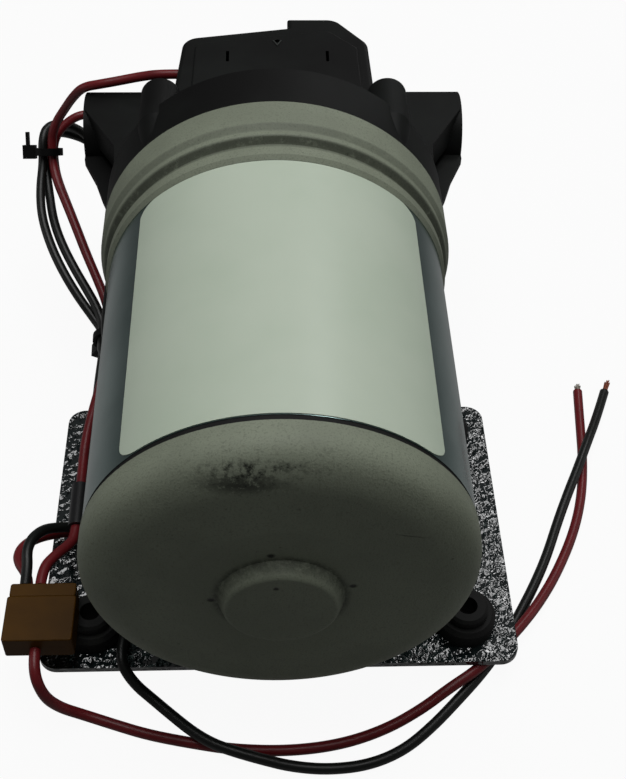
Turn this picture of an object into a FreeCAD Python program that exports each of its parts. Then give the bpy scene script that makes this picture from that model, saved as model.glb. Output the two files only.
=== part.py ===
# Diaphragm water pump with its motor, base plate and leads, in millimetres, +Z up.
# The origin is the centre of the base plate's four mounting holes, at floor level.
# The motor's axis runs along Y: the end cap faces -Y and the pump head +Y.
import FreeCAD, Part
import math
import os
import Sketcher
from FreeCAD import Placement, Rotation, Vector

# Driving dimensions. Lengths along the motor's axis run from the joint of can and end cap.
SIZES = {
    # Base plate and rubber feet
    "can_rise": 6.6,
    "plate_width": 140.0,
    "plate_depth": 99.0,
    "plate_thickness": 2.0,
    "plate_bottom": 6.6,
    "plate_corner": 5.5,
    "seam_setback": 1.3,
    "foot_spacing_x": 110.0,
    "foot_spacing_y": 72.0,
    "foot_radius": 8.75,
    "foot_neck_radius": 6.0,
    "foot_hole_radius": 3.0,
    "foot_hub_radius": 6.2,
    "foot_shoulder": 14.4,
    "foot_top": 17.6,
    "foot_clearance": 0.1,
    # Motor saddle
    "saddle_start": 22.0,
    "saddle_length": 52.0,
    "saddle_half_width": 27.6,
    "saddle_steel": 3.0,
    "saddle_foot": 12.0,
    "saddle_gap": 0.1,
    "saddle_screw_radius": 2.5,
    "saddle_screw_inset": 9.0,
    # Motor can, end cap and label
    "can_radius": 50.8,
    "can_wall": 2.4,
    "can_length": 94.2,
    "can_setback": 0.6,
    "gasket_thickness": 1.2,
    "gasket_inset": 0.2,
    "cap_overhang": 0.35,
    "cap_depth": 15.5,
    "cap_side": 9.5,
    "cap_crown_radius": 27.0,
    "cap_shoulder_radius": 44.0,
    "cap_shoulder_depth": 14.0,
    "cap_wall": 4.0,
    "cap_side_round": 8.0,
    "cap_crown_round": 14.0,
    "boss_round": 1.6,
    "rear_seat": 4.6,
    "rear_seat_wall": 3.5,
    "shaft_clearance": 1.0,
    "boss_base_radius": 16.0,
    "boss_face_radius": 14.2,
    "boss_height": 4.1,
    "spigot_length": 5.2,
    "spigot_wall": 2.8,
    "spigot_gap": 0.1,
    "label_film": 0.03,
    "label_thickness": 0.15,
    "label_start": 0.9,
    "label_end": 93.9,
    "label_left_angle": 49.3,
    "label_right_angle": 51.8,
    "label_corner": 4.5,
    # Front adapter
    "adapter_lip_rise": 1.1,
    "adapter_groove_rise": 0.2,
    "adapter_groove_start": 5.4,
    "adapter_groove_width": 1.6,
    "adapter_ridge_inset": 1.1,
    "adapter_ridge_start": 8.6,
    "adapter_ridge_length": 2.0,
    "adapter_step_length": 2.2,
    "adapter_edge_round": 0.8,
    "flange_radius": 54.2,
    "adapter_length": 22.8,
    "adapter_web": 6.0,
    "adapter_cavity": 13.0,
    "front_seat_wall": 4.0,
    "front_seat_depth": 3.0,
    "shaft_passage": 2.0,
    # Rotor
    "shaft_radius": 5.0,
    "shaft_tail_radius": 4.0,
    "air_gap": 0.9,
    "armature_start": 34.0,
    "armature_length": 42.0,
    "armature_slots": 12,
    "slot_width": 4.0,
    "slot_floor": 24.0,
    "winding_radius": 34.0,
    "winding_overhang": 8.0,
    "commutator_radius": 14.0,
    "commutator_start": 8.0,
    "commutator_length": 16.0,
    "magnet_gap": 0.1,
    "magnet_thickness": 7.9,
    "magnet_start": 27.0,
    "magnet_length": 58.0,
    "magnet_angle": 128.0,
    "rear_bearing_radius": 11.0,
    "rear_bearing_width": 7.0,
    "front_bearing_radius": 13.0,
    "front_bearing_width": 8.0,
    "bearing_gap": 0.05,
    # Brush gear
    "card_inset": 3.4,
    "card_thickness": 3.0,
    "card_hole_radius": 18.0,
    "brush_height": 6.0,
    "brush_width": 12.0,
    "brush_length": 15.0,
    "brush_gap": 0.1,
    "brush_box_end": 40.0,
    "brush_box_wall": 1.6,
    "brush_spring_radius": 2.4,
    "tie_bolt_radius": 2.3,
    "tie_bolt_inset": 4.4,
    "tie_bolt_post": 2.0,
    "tie_bolt_head": 3.2,
    "tie_bolt_head_radius": 4.2,
    "screw_gap": 0.2,
    "thread_gap": 0.05,
    # Drive
    "swash_angle": 3.5,
    "swash_centre": 117.0,
    "journal_radius": 10.0,
    "cam_bearing_radius": 18.5,
    "cam_bearing_width": 9.0,
    "cam_race_radius": 13.2,
    "piston_circle": 30.0,
    "piston_count": 5,
    "post_radius": 8.0,
    "piston_radius": 8.5,
    "piston_thickness": 4.0,
    "piston_screw_radius": 2.0,
    "piston_screw_length": 11.0,
    "piston_screw_head": 1.6,
    "plate_hub_wall": 4.5,
    "post_root": 3.5,
    "sheet_gap": 0.1,
    "chamber_radius": 12.6,
    "diaphragm_radius": 46.4,
    "diaphragm_thickness": 2.0,
    # Pump head
    "housing_length": 10.5,
    "housing_bore": 43.0,
    "top_flange": 4.0,
    "valve_plate_radius": 44.4,
    "valve_plate_thickness": 11.5,
    "chamber_depth": 8.5,
    "valve_stem_radius": 1.5,
    "valve_cap_radius": 7.2,
    "valve_cap_thickness": 1.1,
    "valve_knob_radius": 2.1,
    "valve_port_radius": 1.3,
    "valve_port_angle": 9.0,
    "valve_gap": 0.05,
    "outlet_stem_radius": 2.0,
    "outlet_disc_thickness": 0.75,
    "outlet_crown": 2.4,
    "seal_half_width": 0.8,
    "seal_height": 1.3,
    "dome_radius": 47.5,
    "dome_straight": 9.0,
    "dome_top_radius": 40.0,
    "dome_height": 17.0,
    "head_screw_circle": 50.0,
    "head_screw_radius": 2.1,
    "head_screw_depth": 8.0,
    "tower_radius": 6.2,
    "tower_height": 15.0,
    "tower_round": 1.7,
    "ear_radius": 4.0,
    "screw_head_height": 3.0,
    "outlet_wall_radius": 21.4,
    "outlet_wall": 2.6,
    "gallery_depth": 5.0,
    "outlet_gallery_depth": 11.0,
    "inlet_passage": 5.0,
    "tap_radius": 2.0,
    "manifold_width": 62.0,
    "manifold_top": 20.0,
    "manifold_bottom": 30.0,
    "manifold_end": 198.0,
    "manifold_corner": 8.0,
    "port_radius": 13.5,
    "port_reach": 64.3,
    "port_centre": 176.0,
    "port_bore": 9.1,
    "port_thread_depth": 20.0,
    "port_passage": 7.0,
    "gusset_thickness": 2.6,
    "gusset_low": 2.4,
    "shoulder_top": 13.5,
    "shoulder_foot": 3.0,
    "shoulder_reach": 52.3,
    # Pressure switch
    "cover_half_width": 32.5,
    "cover_height": 12.0,
    "cover_wall": 2.0,
    "cover_back": 152.0,
    "cover_overhang": 0.2,
    "cover_crown": 0.8,
    "cover_margin": 5.9,
    "cover_notch": 5.4,
    "cover_slope": 6.4,
    "cover_corner_x": 21.5,
    "cover_bevel": 14.6,
    "cover_corner_round": 6.0,
    "cover_edge_round": 1.6,
    "cover_slot_width": 1.0,
    "cover_slot_length": 6.0,
    "return_exit_x": 11.5,
    "switch_axis_x": 1.5,
    "switch_axis_y": 183.0,
    "switch_pocket_radius": 8.6,
    "switch_pocket_depth": 7.0,
    "switch_travel": 0.8,
    "plunger_stem_radius": 3.0,
    "plunger_stem_height": 6.0,
    "plunger_disc": 1.6,
    "plunger_arm_width": 5.0,
    "plunger_arm_rise": 2.6,
    "switch_rubber": 1.0,
    "microswitch_length": 13.0,
    "microswitch_width": 6.4,
    "microswitch_height": 8.0,
    "microswitch_floor": 0.4,
    "button_radius": 1.5,
    "button_inset": 4.0,
    "microswitch_offset": 13.0,
    # Leads
    "wire_radius": 1.6,
    "strand_radius": 0.9,
    "strand_length": 5.5,
    "switch_spring_radius": 5.2,
    "adjuster_radius": 2.5,
    "adjuster_hole_radius": 0.9,
    "sleeve_radius": 2.7,
    "sleeve_length": 15.6,
    "bushing_radius": 2.2,
    "bushing_setback": 2.7,
    "bushing_collar": 2.0,
    "tie_inner_radius": 4.15,
    "tie_strap_thickness": 1.1,
    "tie_width": 2.6,
    "tie_head": 4.4,
    "connector_width": 19.6,
    "connector_length": 14.8,
    "connector_rim": 4.5,
    "connector_height": 8.0,
    "connector_inset": 0.4,
    "connector_round": 0.8,
}

doc = FreeCAD.newDocument("WaterPump")
sheet = doc.addObject("Spreadsheet::Sheet", "Sizes")
for row, (alias, value) in enumerate(SIZES.items(), 1):
    sheet.set(f"A{row}", alias)
    sheet.set(f"B{row}", str(value))
    sheet.setAlias(f"B{row}", alias)
doc.recompute()


class Dim:
    """A size that knows its number and the sheet formula that gives it."""

    def __init__(self, value, formula=None):
        self.value = float(value)
        self.formula = formula or f"({self.value:.6f})"

    def __add__(self, other):
        other = as_dim(other)
        return Dim(self.value + other.value, f"({self.formula} + {other.formula})")

    def __sub__(self, other):
        other = as_dim(other)
        return Dim(self.value - other.value, f"({self.formula} - {other.formula})")

    def __mul__(self, factor):
        return Dim(self.value * factor, f"({self.formula} * ({factor:.8f}))")

    def __truediv__(self, divisor):
        return self * (1 / divisor)

    def __neg__(self):
        return self * -1

    def __radd__(self, other):
        return as_dim(other) + self

    def __rsub__(self, other):
        return as_dim(other) - self

    __rmul__ = __mul__


def as_dim(value):
    return value if isinstance(value, Dim) else Dim(value)


def size(alias):
    return Dim(SIZES[alias], f"Sizes.{alias}")


ZERO = Dim(0)
BUSHING_ANGLES = (-118, -126)
ALONG_X = Rotation(Vector(0, 1, 0), 90)
ALONG_Y = Rotation(Vector(1, 0, 0), -90)
ALONG_Z = Rotation()
TILT = SIZES["swash_angle"]
TILTED = Rotation(Vector(1, 0, 0), TILT)

adapter_end = size("can_length") + size("adapter_length")
sheet_start = adapter_end + size("housing_length")
head_start = sheet_start + size("diaphragm_thickness")
can_bore = size("can_radius") - size("can_wall")
cap_radius = size("can_radius") + size("cap_overhang")
lip_radius = size("can_radius") + size("adapter_lip_rise")
magnet_bore = can_bore - size("magnet_gap") - size("magnet_thickness")
armature_radius = magnet_bore - size("air_gap")
seam_y = size("seam_setback") - size("plate_depth") / 2
plate_top = size("plate_bottom") + size("plate_thickness")
axis_z = plate_top + size("can_rise") + size("can_radius")
parts = {}


def keep(label, thing):
    """Gives a finished sub-part its label, which names its file."""
    thing.Label = label
    parts[label] = thing
    return thing


def place(thing, x, y, z, rotation=ALONG_Z):
    """Places an object in the part's frame, its three offsets tied to the sheet."""
    x, y, z = as_dim(x), as_dim(y), as_dim(z)
    thing.Placement = Placement(Vector(x.value, y.value, z.value), rotation)
    for axis, offset in (("x", x), ("y", y), ("z", z)):
        thing.setExpression(f"Placement.Base.{axis}", offset.formula)
    return thing


def bind(thing, **sizes):
    for name, value in sizes.items():
        value = as_dim(value)
        setattr(thing, name, value.value)
        thing.setExpression(name, value.formula)
    return thing


def rod(radius, length, x, y, z, rotation=ALONG_Y):
    """Cylinder that starts at x, y, z in the motor's frame."""
    thing = bind(doc.addObject("Part::Cylinder", "Rod"), Radius=radius, Height=length)
    return place(thing, x, seam_y + y, axis_z + z, rotation)


def block(width, depth, height, x, y, z):
    """Box with its lowest corner at x, y, z in the motor's frame."""
    thing = bind(doc.addObject("Part::Box", "Block"), Length=width, Width=depth, Height=height)
    return place(thing, x, seam_y + y, axis_z + z)


def cut(base, *tools):
    for tool in tools:
        thing = doc.addObject("Part::Cut", "Cut")
        thing.Base = base
        thing.Tool = tool
        base = thing
    return base


def join(*pieces):
    thing = doc.addObject("Part::MultiFuse", "Join")
    thing.Shapes = list(pieces)
    thing.Refine = True
    return thing


def overlap(*pieces):
    thing = doc.addObject("Part::MultiCommon", "Common")
    thing.Shapes = list(pieces)
    return thing


def group(*pieces):
    """Separate solids that share one node."""
    thing = doc.addObject("Part::Compound", "Group")
    thing.Links = list(pieces)
    return thing


def new_body():
    return doc.addObject("PartDesign::Body", "Body")


def origin_plane(body, role):
    return next(f for f in body.Origin.OriginFeatures if f.Role == role)


def tie_point(sketch, line, point, place_u, place_v):
    """Ties one end of a sketch line to the sheet."""
    for kind, offset in (("DistanceX", place_u), ("DistanceY", place_v)):
        offset = as_dim(offset)
        index = sketch.addConstraint(
            Sketcher.Constraint(kind, -1, 1, line, point, offset.value))
        sketch.setExpression(f"Constraints[{index}]", offset.formula)


def outline(body, points):
    """Closed outline of straight lines in the body's own XY plane."""
    sketch = body.newObject("Sketcher::SketchObject", "Outline")
    sketch.AttachmentSupport = (origin_plane(body, "XY_Plane"), [""])
    sketch.MapMode = "FlatFace"
    points = [(as_dim(u), as_dim(v)) for u, v in points]
    corners = [Vector(u.value, v.value, 0) for u, v in points]
    ends = corners[1:] + corners[:1]
    for start, end in zip(corners, ends):
        sketch.addGeometry(Part.LineSegment(start, end), False)
    for line in range(len(points)):
        following = (line + 1) % len(points)
        sketch.addConstraint(Sketcher.Constraint("Coincident", line, 2, following, 1))
    for line, (u, v) in enumerate(points):
        tie_point(sketch, line, 1, u, v)
    return sketch


def turned(points, x=ZERO, y=ZERO, z=ZERO, rotation=ALONG_Z):
    """Solid of revolution about the motor's axis: points are radius and length."""
    body = new_body()
    sketch = outline(body, points)
    turn = body.newObject("PartDesign::Revolution", "Turn")
    turn.Profile = sketch
    turn.ReferenceAxis = (sketch, ["V_Axis"])
    turn.Angle = 360
    sketch.Visibility = False
    return place(body, x, seam_y + y, axis_z + z, rotation)


def extruded(points, length, x, y, z, rotation=ALONG_Z):
    """Outline pushed along the body's own Z by a length."""
    body = new_body()
    sketch = outline(body, points)
    pad = body.newObject("PartDesign::Pad", "Pad")
    pad.Profile = sketch
    bind(pad, Length=length)
    return place(body, x, seam_y + y, axis_z + z, rotation)


def ring(inner, outer, start, length, **where):
    end = as_dim(start) + length
    return turned([(inner, start), (outer, start), (outer, end), (inner, end)], **where)


def round_edges(body, radius, wanted):
    """Fillet on the edges of a body's tip whose ends and middle pass the test."""
    doc.recompute()
    tip = body.Tip
    names = [f"Edge{i}" for i, edge in enumerate(tip.Shape.Edges, 1) if wanted(edge)]
    fillet = body.newObject("PartDesign::Fillet", "Fillet")
    fillet.Base = (tip, names)
    bind(fillet, Radius=radius)
    return body


def is_ring(radius, height):
    """Test for a full circle of a radius at a height along the turning axis."""
    def test(edge):
        curve = edge.Curve
        return (isinstance(curve, Part.Circle) and abs(curve.Radius - radius.value) < 0.01
                and abs(curve.Center.y - height.value) < 0.01)
    return test


def is_upright(x, y):
    """Test for an edge along Z whose place is near x, y; None accepts any."""
    def test(edge):
        first, last = edge.Vertexes[0].Point, edge.Vertexes[-1].Point
        upright = abs(first.x - last.x) < 0.01 and abs(first.y - last.y) < 0.01
        near_x = x is None or abs(first.x - x.value) < 0.01
        near_y = y is None or abs(first.y - y.value) < 0.01
        return upright and len(edge.Vertexes) == 2 and near_x and near_y
    return test


def is_flat_at(height):
    """Test for an edge whose ends lie at a height in the body's own frame."""
    def test(edge):
        return all(abs(v.Point.z - height.value) < 0.01 for v in edge.Vertexes)
    return test


def polar(radius, degrees):
    """Offsets x and z of a point on a circle about the motor's axis, from the top."""
    angle = math.radians(degrees)
    return radius * math.sin(angle), radius * math.cos(angle)


def radial_block(width, inner, outer, start, length, degrees):
    """Box that stands on the motor's axis and points outwards at an angle from the top."""
    thing = bind(doc.addObject("Part::Box", "Bar"), Length=width, Width=length,
                 Height=outer - inner)
    sine, cosine = math.sin(math.radians(degrees)), math.cos(math.radians(degrees))
    x = inner * sine - width * (cosine / 2)
    z = inner * cosine + width * (sine / 2)
    return place(thing, x, seam_y + start, axis_z + z, Rotation(Vector(0, 1, 0), degrees))


def spoke(radius, inner, outer, degrees):
    """Rod that stands out from the motor's axis between two radii, at an angle from the top."""
    sine, cosine = math.sin(math.radians(degrees)), math.cos(math.radians(degrees))
    thing = bind(doc.addObject("Part::Cylinder", "Spoke"), Radius=radius, Height=outer - inner)
    along = size("can_length") + size("bushing_setback")
    return place(thing, inner * sine, seam_y + along, axis_z + inner * cosine,
                 Rotation(Vector(0, 1, 0), degrees))


def sector(radius, length, start, middle_degrees, span):
    """Slice of a cylinder about the motor's axis, centred at an angle from the top."""
    first = middle_degrees - 90 - span.value / 2
    turn = ALONG_Y.multiply(Rotation(Vector(0, 0, 1), first))
    thing = bind(doc.addObject("Part::Cylinder", "Slice"), Radius=radius, Height=length,
                 Angle=span)
    return place(thing, ZERO, seam_y + start, axis_z, turn)


# Base plate with holes for the feet and for the saddle's screws
def foot_centres():
    for side in (-1, 1):
        for end in (-1, 1):
            yield size("foot_spacing_x") * (side / 2), size("foot_spacing_y") * (end / 2)


def saddle_screw_centres():
    reach = size("saddle_half_width") + size("saddle_steel") + size("saddle_foot") / 2
    near = size("saddle_start") + size("saddle_screw_inset")
    far = size("saddle_start") + size("saddle_length") - size("saddle_screw_inset")
    for side in (-1, 1):
        for y in (near, far):
            yield reach * side, y


def make_base_plate():
    half_x, half_y = size("plate_width") / 2, size("plate_depth") / 2
    corners = [(-half_x, -half_y), (half_x, -half_y), (half_x, half_y), (-half_x, half_y)]
    body = extruded(corners, size("plate_thickness"), ZERO, ZERO - seam_y,
                    size("plate_bottom") - axis_z)
    round_edges(body, size("plate_corner"), is_upright(None, None))
    drills = []
    for x, y in foot_centres():
        drills.append(rod(size("foot_neck_radius"), size("plate_thickness") * 3, x, y - seam_y,
                          size("plate_bottom") - size("plate_thickness") - axis_z, ALONG_Z))
    for x, y in saddle_screw_centres():
        drills.append(rod(size("saddle_screw_radius") + 0.1, size("plate_thickness") * 3, x, y,
                          size("plate_bottom") - size("plate_thickness") - axis_z, ALONG_Z))
    keep("base_plate", cut(body, *drills))


def make_feet():
    gap = size("foot_clearance")
    wide, neck = size("foot_radius"), size("foot_neck_radius") - gap
    hole, hub = size("foot_hole_radius"), size("foot_hub_radius")
    low, high = size("plate_bottom") - 0.05, plate_top + 0.05
    shoulder, top = size("foot_shoulder"), size("foot_top")
    profile = [(hole, 0), (wide - 1.5, 0), (wide, 1.5), (wide, low), (neck, low),
               (neck, high), (wide, high), (wide, shoulder - 1.2), (wide - 1.2, shoulder),
               (hub, shoulder), (hub, top - 0.8), (hub - 0.8, top), (hole, top)]
    feet = []
    for x, y in foot_centres():
        foot = turned(profile, rotation=Rotation(Vector(1, 0, 0), 90))
        feet.append(place(foot, x, y, 0, Rotation(Vector(1, 0, 0), 90)))
    keep("rubber_feet", group(*feet))


# Saddle of folded steel that carries the motor on the plate
def make_saddle():
    steel, half = size("saddle_steel"), size("saddle_half_width")
    start, length = size("saddle_start"), size("saddle_length")
    bed = size("can_radius") + size("saddle_gap")
    floor = plate_top - axis_z
    cradle = cut(rod(bed + steel, length, 0, start, 0), rod(bed, length, 0, start, 0))
    window = block(half * 2, length, size("can_radius"), -half, start, -(bed + steel))
    strap = overlap(cradle, window)
    leg_height = size("can_radius") * 0.5
    pieces = [strap]
    for side in (-1, 1):
        inner = half * side if side > 0 else half * side - steel
        pieces.append(cut(block(steel, length, leg_height, inner, start, floor),
                          rod(bed, length, 0, start, 0)))
        foot_x = half + steel if side > 0 else -(half + steel + size("saddle_foot"))
        pieces.append(block(size("saddle_foot"), length, steel, foot_x, start, floor))
    drills = [rod(size("saddle_screw_radius") + 0.1, steel * 3, x, y, floor - steel, ALONG_Z)
              for x, y in saddle_screw_centres()]
    keep("motor_saddle", cut(join(*pieces), *drills))
    screws = []
    for x, y in saddle_screw_centres():
        shank = size("saddle_screw_radius")
        head_z = plate_top + steel - axis_z
        under = size("plate_bottom") - axis_z - 3.0
        screws.append(join(rod(shank, head_z - under, x, y, under, ALONG_Z),
                           rod(shank * 1.8, 2.6, x, y, head_z, ALONG_Z),
                           rod(shank * 1.7, 3.0, x, y, under, ALONG_Z)))
    keep("saddle_screws", group(*screws))


# Motor housing
def make_can():
    rear = size("can_setback")
    keep("motor_can", ring(can_bore, size("can_radius"), rear, size("can_length") - rear))
    rim = size("can_radius") - size("gasket_inset")
    keep("seam_gasket", ring(can_bore, rim, -size("gasket_thickness"),
                             size("gasket_thickness") + rear))


def tie_bolt_places():
    return [polar(can_bore - size("tie_bolt_inset"), degrees) for degrees in (0, 180)]


def make_end_cap():
    rim, face, wall = cap_radius, -size("cap_depth"), size("cap_wall")
    seat = can_bore - size("spigot_gap")
    bore = seat - size("spigot_wall")
    rear, seat_y = size("rear_bearing_radius"), -size("rear_seat")
    around, clear = rear + size("rear_seat_wall"), size("shaft_radius") + size("shaft_clearance")
    seam = -size("gasket_thickness")
    shoulder = (size("cap_shoulder_radius"), -size("cap_shoulder_depth"))
    points = [(0, face - size("boss_height")), (size("boss_face_radius"), face - size("boss_height")),
              (size("boss_base_radius"), face), (size("cap_crown_radius"), face), shoulder,
              (rim, -size("cap_side")), (rim, seam), (seat, seam), (seat, size("spigot_length")),
              (bore, size("spigot_length")), (bore, -size("cap_side") + wall / 2),
              (size("cap_shoulder_radius") - wall, wall - size("cap_shoulder_depth")),
              (around, face + wall), (around, seat_y), (rear, seat_y),
              (rear, seat_y - size("rear_bearing_width")),
              (clear, seat_y - size("rear_bearing_width")), (clear, face), (0, face)]
    body = turned(points)
    round_edges(body, size("cap_side_round"), is_ring(rim, -size("cap_side")))
    round_edges(body, size("cap_crown_round"),
                is_ring(size("cap_shoulder_radius"), -size("cap_shoulder_depth")))
    round_edges(body, size("boss_round"),
                is_ring(size("boss_face_radius"), face - size("boss_height")))
    posts, holes = [], []
    for x, z in tie_bolt_places():
        reach = wall - size("cap_side")
        posts.append(rod(size("tie_bolt_radius") + size("tie_bolt_post"),
                         size("spigot_length") - reach, x, reach, z))
        holes.append(rod(size("tie_bolt_radius") + size("thread_gap"), size("cap_depth"), x,
                         reach + 2, z))
    keep("rear_end_cap", cut(join(body, *posts), *holes))


def make_label():
    """Thin sheet on the can with rounded corners, seen square from above."""
    inner = size("can_radius") + size("label_film")
    outer = inner + size("label_thickness")
    start, end = size("label_start"), size("label_end")
    length = end - start
    left = inner * -math.sin(math.radians(SIZES["label_left_angle"]))
    right = inner * math.sin(math.radians(SIZES["label_right_angle"]))
    sheet_ring = cut(rod(outer, length, 0, start, 0), rod(inner, length, 0, start, 0))
    window = extruded([(left, start), (right, start), (right, end), (left, end)],
                      size("can_radius") * 1.2, 0, 0, 0)
    round_edges(window, size("label_corner"), is_upright(None, None))
    keep("blank_label", overlap(sheet_ring, window))


def make_adapter():
    """Die-cast front end of the motor, which carries the pump head."""
    start, flange = size("can_length"), adapter_end
    seat = can_bore - size("spigot_gap")
    bore = seat - size("spigot_wall")
    lip, groove = lip_radius, size("can_radius") + size("adapter_groove_rise")
    rim = size("flange_radius")
    ridge = rim - size("adapter_ridge_inset")
    cut_in = start + size("adapter_groove_start")
    cut_out = cut_in + size("adapter_groove_width")
    ridge_y = start + size("adapter_ridge_start")
    ridge_end = ridge_y + size("adapter_ridge_length")
    web = flange - size("adapter_cavity")
    hub, back = size("front_bearing_radius"), web - size("front_bearing_width") - 0.5
    outer_hub, floor = hub + size("front_seat_wall"), back - size("front_seat_depth")
    passage = size("shaft_radius") + size("shaft_passage")
    points = [(bore, start - size("spigot_length")), (seat, start - size("spigot_length")),
              (seat, start), (size("can_radius") + 0.1, start), (lip, start + 1.4),
              (lip, cut_in - 0.7), (groove, cut_in), (groove, cut_out), (ridge, ridge_y),
              (ridge, ridge_end), (rim, ridge_end + size("adapter_step_length")), (rim, flange),
              (size("diaphragm_radius"), flange), (size("diaphragm_radius"), web),
              (hub, web), (hub, back), (passage, back), (passage, floor), (outer_hub, floor),
              (outer_hub, web - size("adapter_web")), (bore, web - size("adapter_web"))]
    body = turned(points)
    for radius, along in ((ridge, ridge_y), (ridge, ridge_end),
                          (rim, ridge_end + size("adapter_step_length"))):
        round_edges(body, size("adapter_edge_round"), is_ring(radius, along))
    holes = []
    for x, z in tie_bolt_places():
        holes.append(rod(size("tie_bolt_radius") + size("screw_gap"), size("adapter_length"), x,
                         start - 8, z))
        holes.append(rod(size("tie_bolt_head_radius") + 0.3, size("adapter_length"), x,
                         web - 2.5, z))
    for x, z in head_screw_places():
        holes.append(rod(size("head_screw_radius") + size("thread_gap"),
                         size("head_screw_depth") + 5, x, flange - size("head_screw_depth") - 4, z))
    for degrees in BUSHING_ANGLES:
        holes.append(spoke(size("bushing_radius") + 0.05, lip - 8.9, lip + 8.1, degrees))
    keep("front_adapter", cut(body, *holes))
    bolts = []
    for x, z in tie_bolt_places():
        tail = size("cap_wall") - size("cap_side") + 3
        bolts.append(join(rod(size("tie_bolt_radius"), web - 2.5 - tail, x, tail, z),
                          rod(size("tie_bolt_head_radius"), size("tie_bolt_head"), x,
                              web - 2.5, z)))
    keep("tie_bolts", group(*bolts))


# Rotor
def make_shaft():
    tail, body_r = size("shaft_tail_radius"), size("shaft_radius")
    step = 0.2 - size("rear_seat")
    end = size("swash_centre") + 6
    keep("motor_shaft", turned([(0, -size("cap_depth") + 2), (tail, -size("cap_depth") + 2),
                                (tail, step), (body_r, step), (body_r, end), (0, end)]))


def make_armature():
    start, length = size("armature_start"), size("armature_length")
    slots = SIZES["armature_slots"]
    steel = ring(size("shaft_radius"), armature_radius, start, length)
    width = size("slot_width")
    grooves = [radial_block(width, size("slot_floor"), armature_radius + 2,
                            start - 1, length + 2, i * 360 / slots) for i in range(slots)]
    keep("armature_core", cut(steel, *grooves))
    over = size("winding_overhang")
    gap = 0.1
    inner, outer = size("slot_floor") - 6, size("winding_radius")
    turns = [ring(inner, outer, start - over, over - gap),
             ring(inner, outer, start + length + gap, over - gap)]
    bars = [radial_block(width - gap * 2, size("slot_floor") + gap, armature_radius - 2,
                         start - over / 2, length + over, i * 360 / slots)
            for i in range(slots)]
    keep("armature_winding", join(*turns, *bars))
    keep("commutator", ring(size("shaft_radius"), size("commutator_radius"),
                            size("commutator_start"), size("commutator_length")))


def make_magnets():
    magnets = []
    outer = can_bore - size("magnet_gap")
    start, length, span = size("magnet_start"), size("magnet_length"), size("magnet_angle")
    for middle in (90, 270):
        shell = sector(outer, length, start, middle, span)
        hollow = rod(magnet_bore, length, 0, start, 0)
        magnets.append(cut(shell, hollow))
    keep("field_magnets", group(*magnets))


def make_bearing(prefix, bore, outside, start, width, **where):
    """Sealed ball bearing as its two rings, with a running gap between them."""
    split = (bore + outside) / 2
    half_gap = size("bearing_gap") / 2
    keep(f"{prefix}_bearing_inner", ring(bore, split - half_gap, start, width, **where))
    keep(f"{prefix}_bearing_outer", ring(split + half_gap, outside, start, width, **where))


def make_bearings():
    make_bearing("rear", size("shaft_tail_radius"), size("rear_bearing_radius"),
                 -size("rear_seat") - size("rear_bearing_width"), size("rear_bearing_width"))
    web = adapter_end - size("adapter_cavity")
    make_bearing("front", size("shaft_radius"), size("front_bearing_radius"),
                 web - size("front_bearing_width") - 0.5, size("front_bearing_width"))


# Brush gear
def make_brush_gear():
    card_y = size("spigot_length") + 0.1
    box_y = card_y + size("card_thickness")
    height, width = size("brush_height"), size("brush_width")
    wall, gap = size("brush_box_wall"), size("brush_gap")
    start = size("commutator_radius") + 0.2
    box_start, box_end = start + 2.6, size("brush_box_end")
    brush_y = size("commutator_start") + (size("commutator_length") - width) / 2
    top = brush_y + width + gap + wall
    card = ring(size("card_hole_radius"), can_bore - size("card_inset"), card_y,
                size("card_thickness"))
    passages = [rod(size("tie_bolt_radius") + 0.3, size("card_thickness") * 3, x, card_y - 3, z)
                for x, z in tie_bolt_places()]
    boxes, channels = [], []
    for side in (-1, 1):
        near = box_start if side > 0 else -box_end
        boxes.append(block(box_end - box_start, top - box_y, height + (wall + gap) * 2,
                           near, box_y, -height / 2 - wall - gap))
        hollow = box_start - 1 if side > 0 else -(box_end - wall)
        channels.append(block(box_end - wall - box_start + 1, width + gap * 2,
                              height + gap * 2, hollow, brush_y - gap, -height / 2 - gap))
    keep("brush_card", cut(join(card, *boxes), *channels, *passages))
    brush_end = start + size("brush_length")
    spring = box_end - wall - brush_end - 0.2
    for name, side in (("left", -1), ("right", 1)):
        near = start if side > 0 else -brush_end
        keep(f"{name}_brush", block(size("brush_length"), width, height, near, brush_y,
                                    -height / 2))
        spring_x = brush_end + 0.1 if side > 0 else -(brush_end + 0.1 + spring)
        outer = size("brush_spring_radius")
        tube = [rod(radius, spring, spring_x, brush_y + width / 2, 0, ALONG_X)
                for radius in (outer, outer - 0.6)]
        keep(f"{name}_brush_spring", cut(*tube))


# Drive: the hub's journal leans, so the plate on it rocks without turning
def tilted(u, along, w):
    """Offsets of a point given in the frame that leans with the journal."""
    sine, cosine = math.sin(math.radians(TILT)), math.cos(math.radians(TILT))
    u, along, w = as_dim(u), as_dim(along), as_dim(w)
    return u, size("swash_centre") + along * cosine - w * sine, along * sine + w * cosine


def tilted_rod(radius, length, u, along, w):
    x, y, z = tilted(u, along, w)
    return rod(radius, length, x, y, z, TILTED.multiply(ALONG_Y))


def piston_places():
    count = SIZES["piston_count"]
    return [polar(size("piston_circle"), 180 + i * 360 / count) for i in range(count)]


def diaphragm_level():
    """Height of the diaphragm's middle over the point about which the plate rocks."""
    return sheet_start + size("diaphragm_thickness") / 2 - size("swash_centre")


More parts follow.
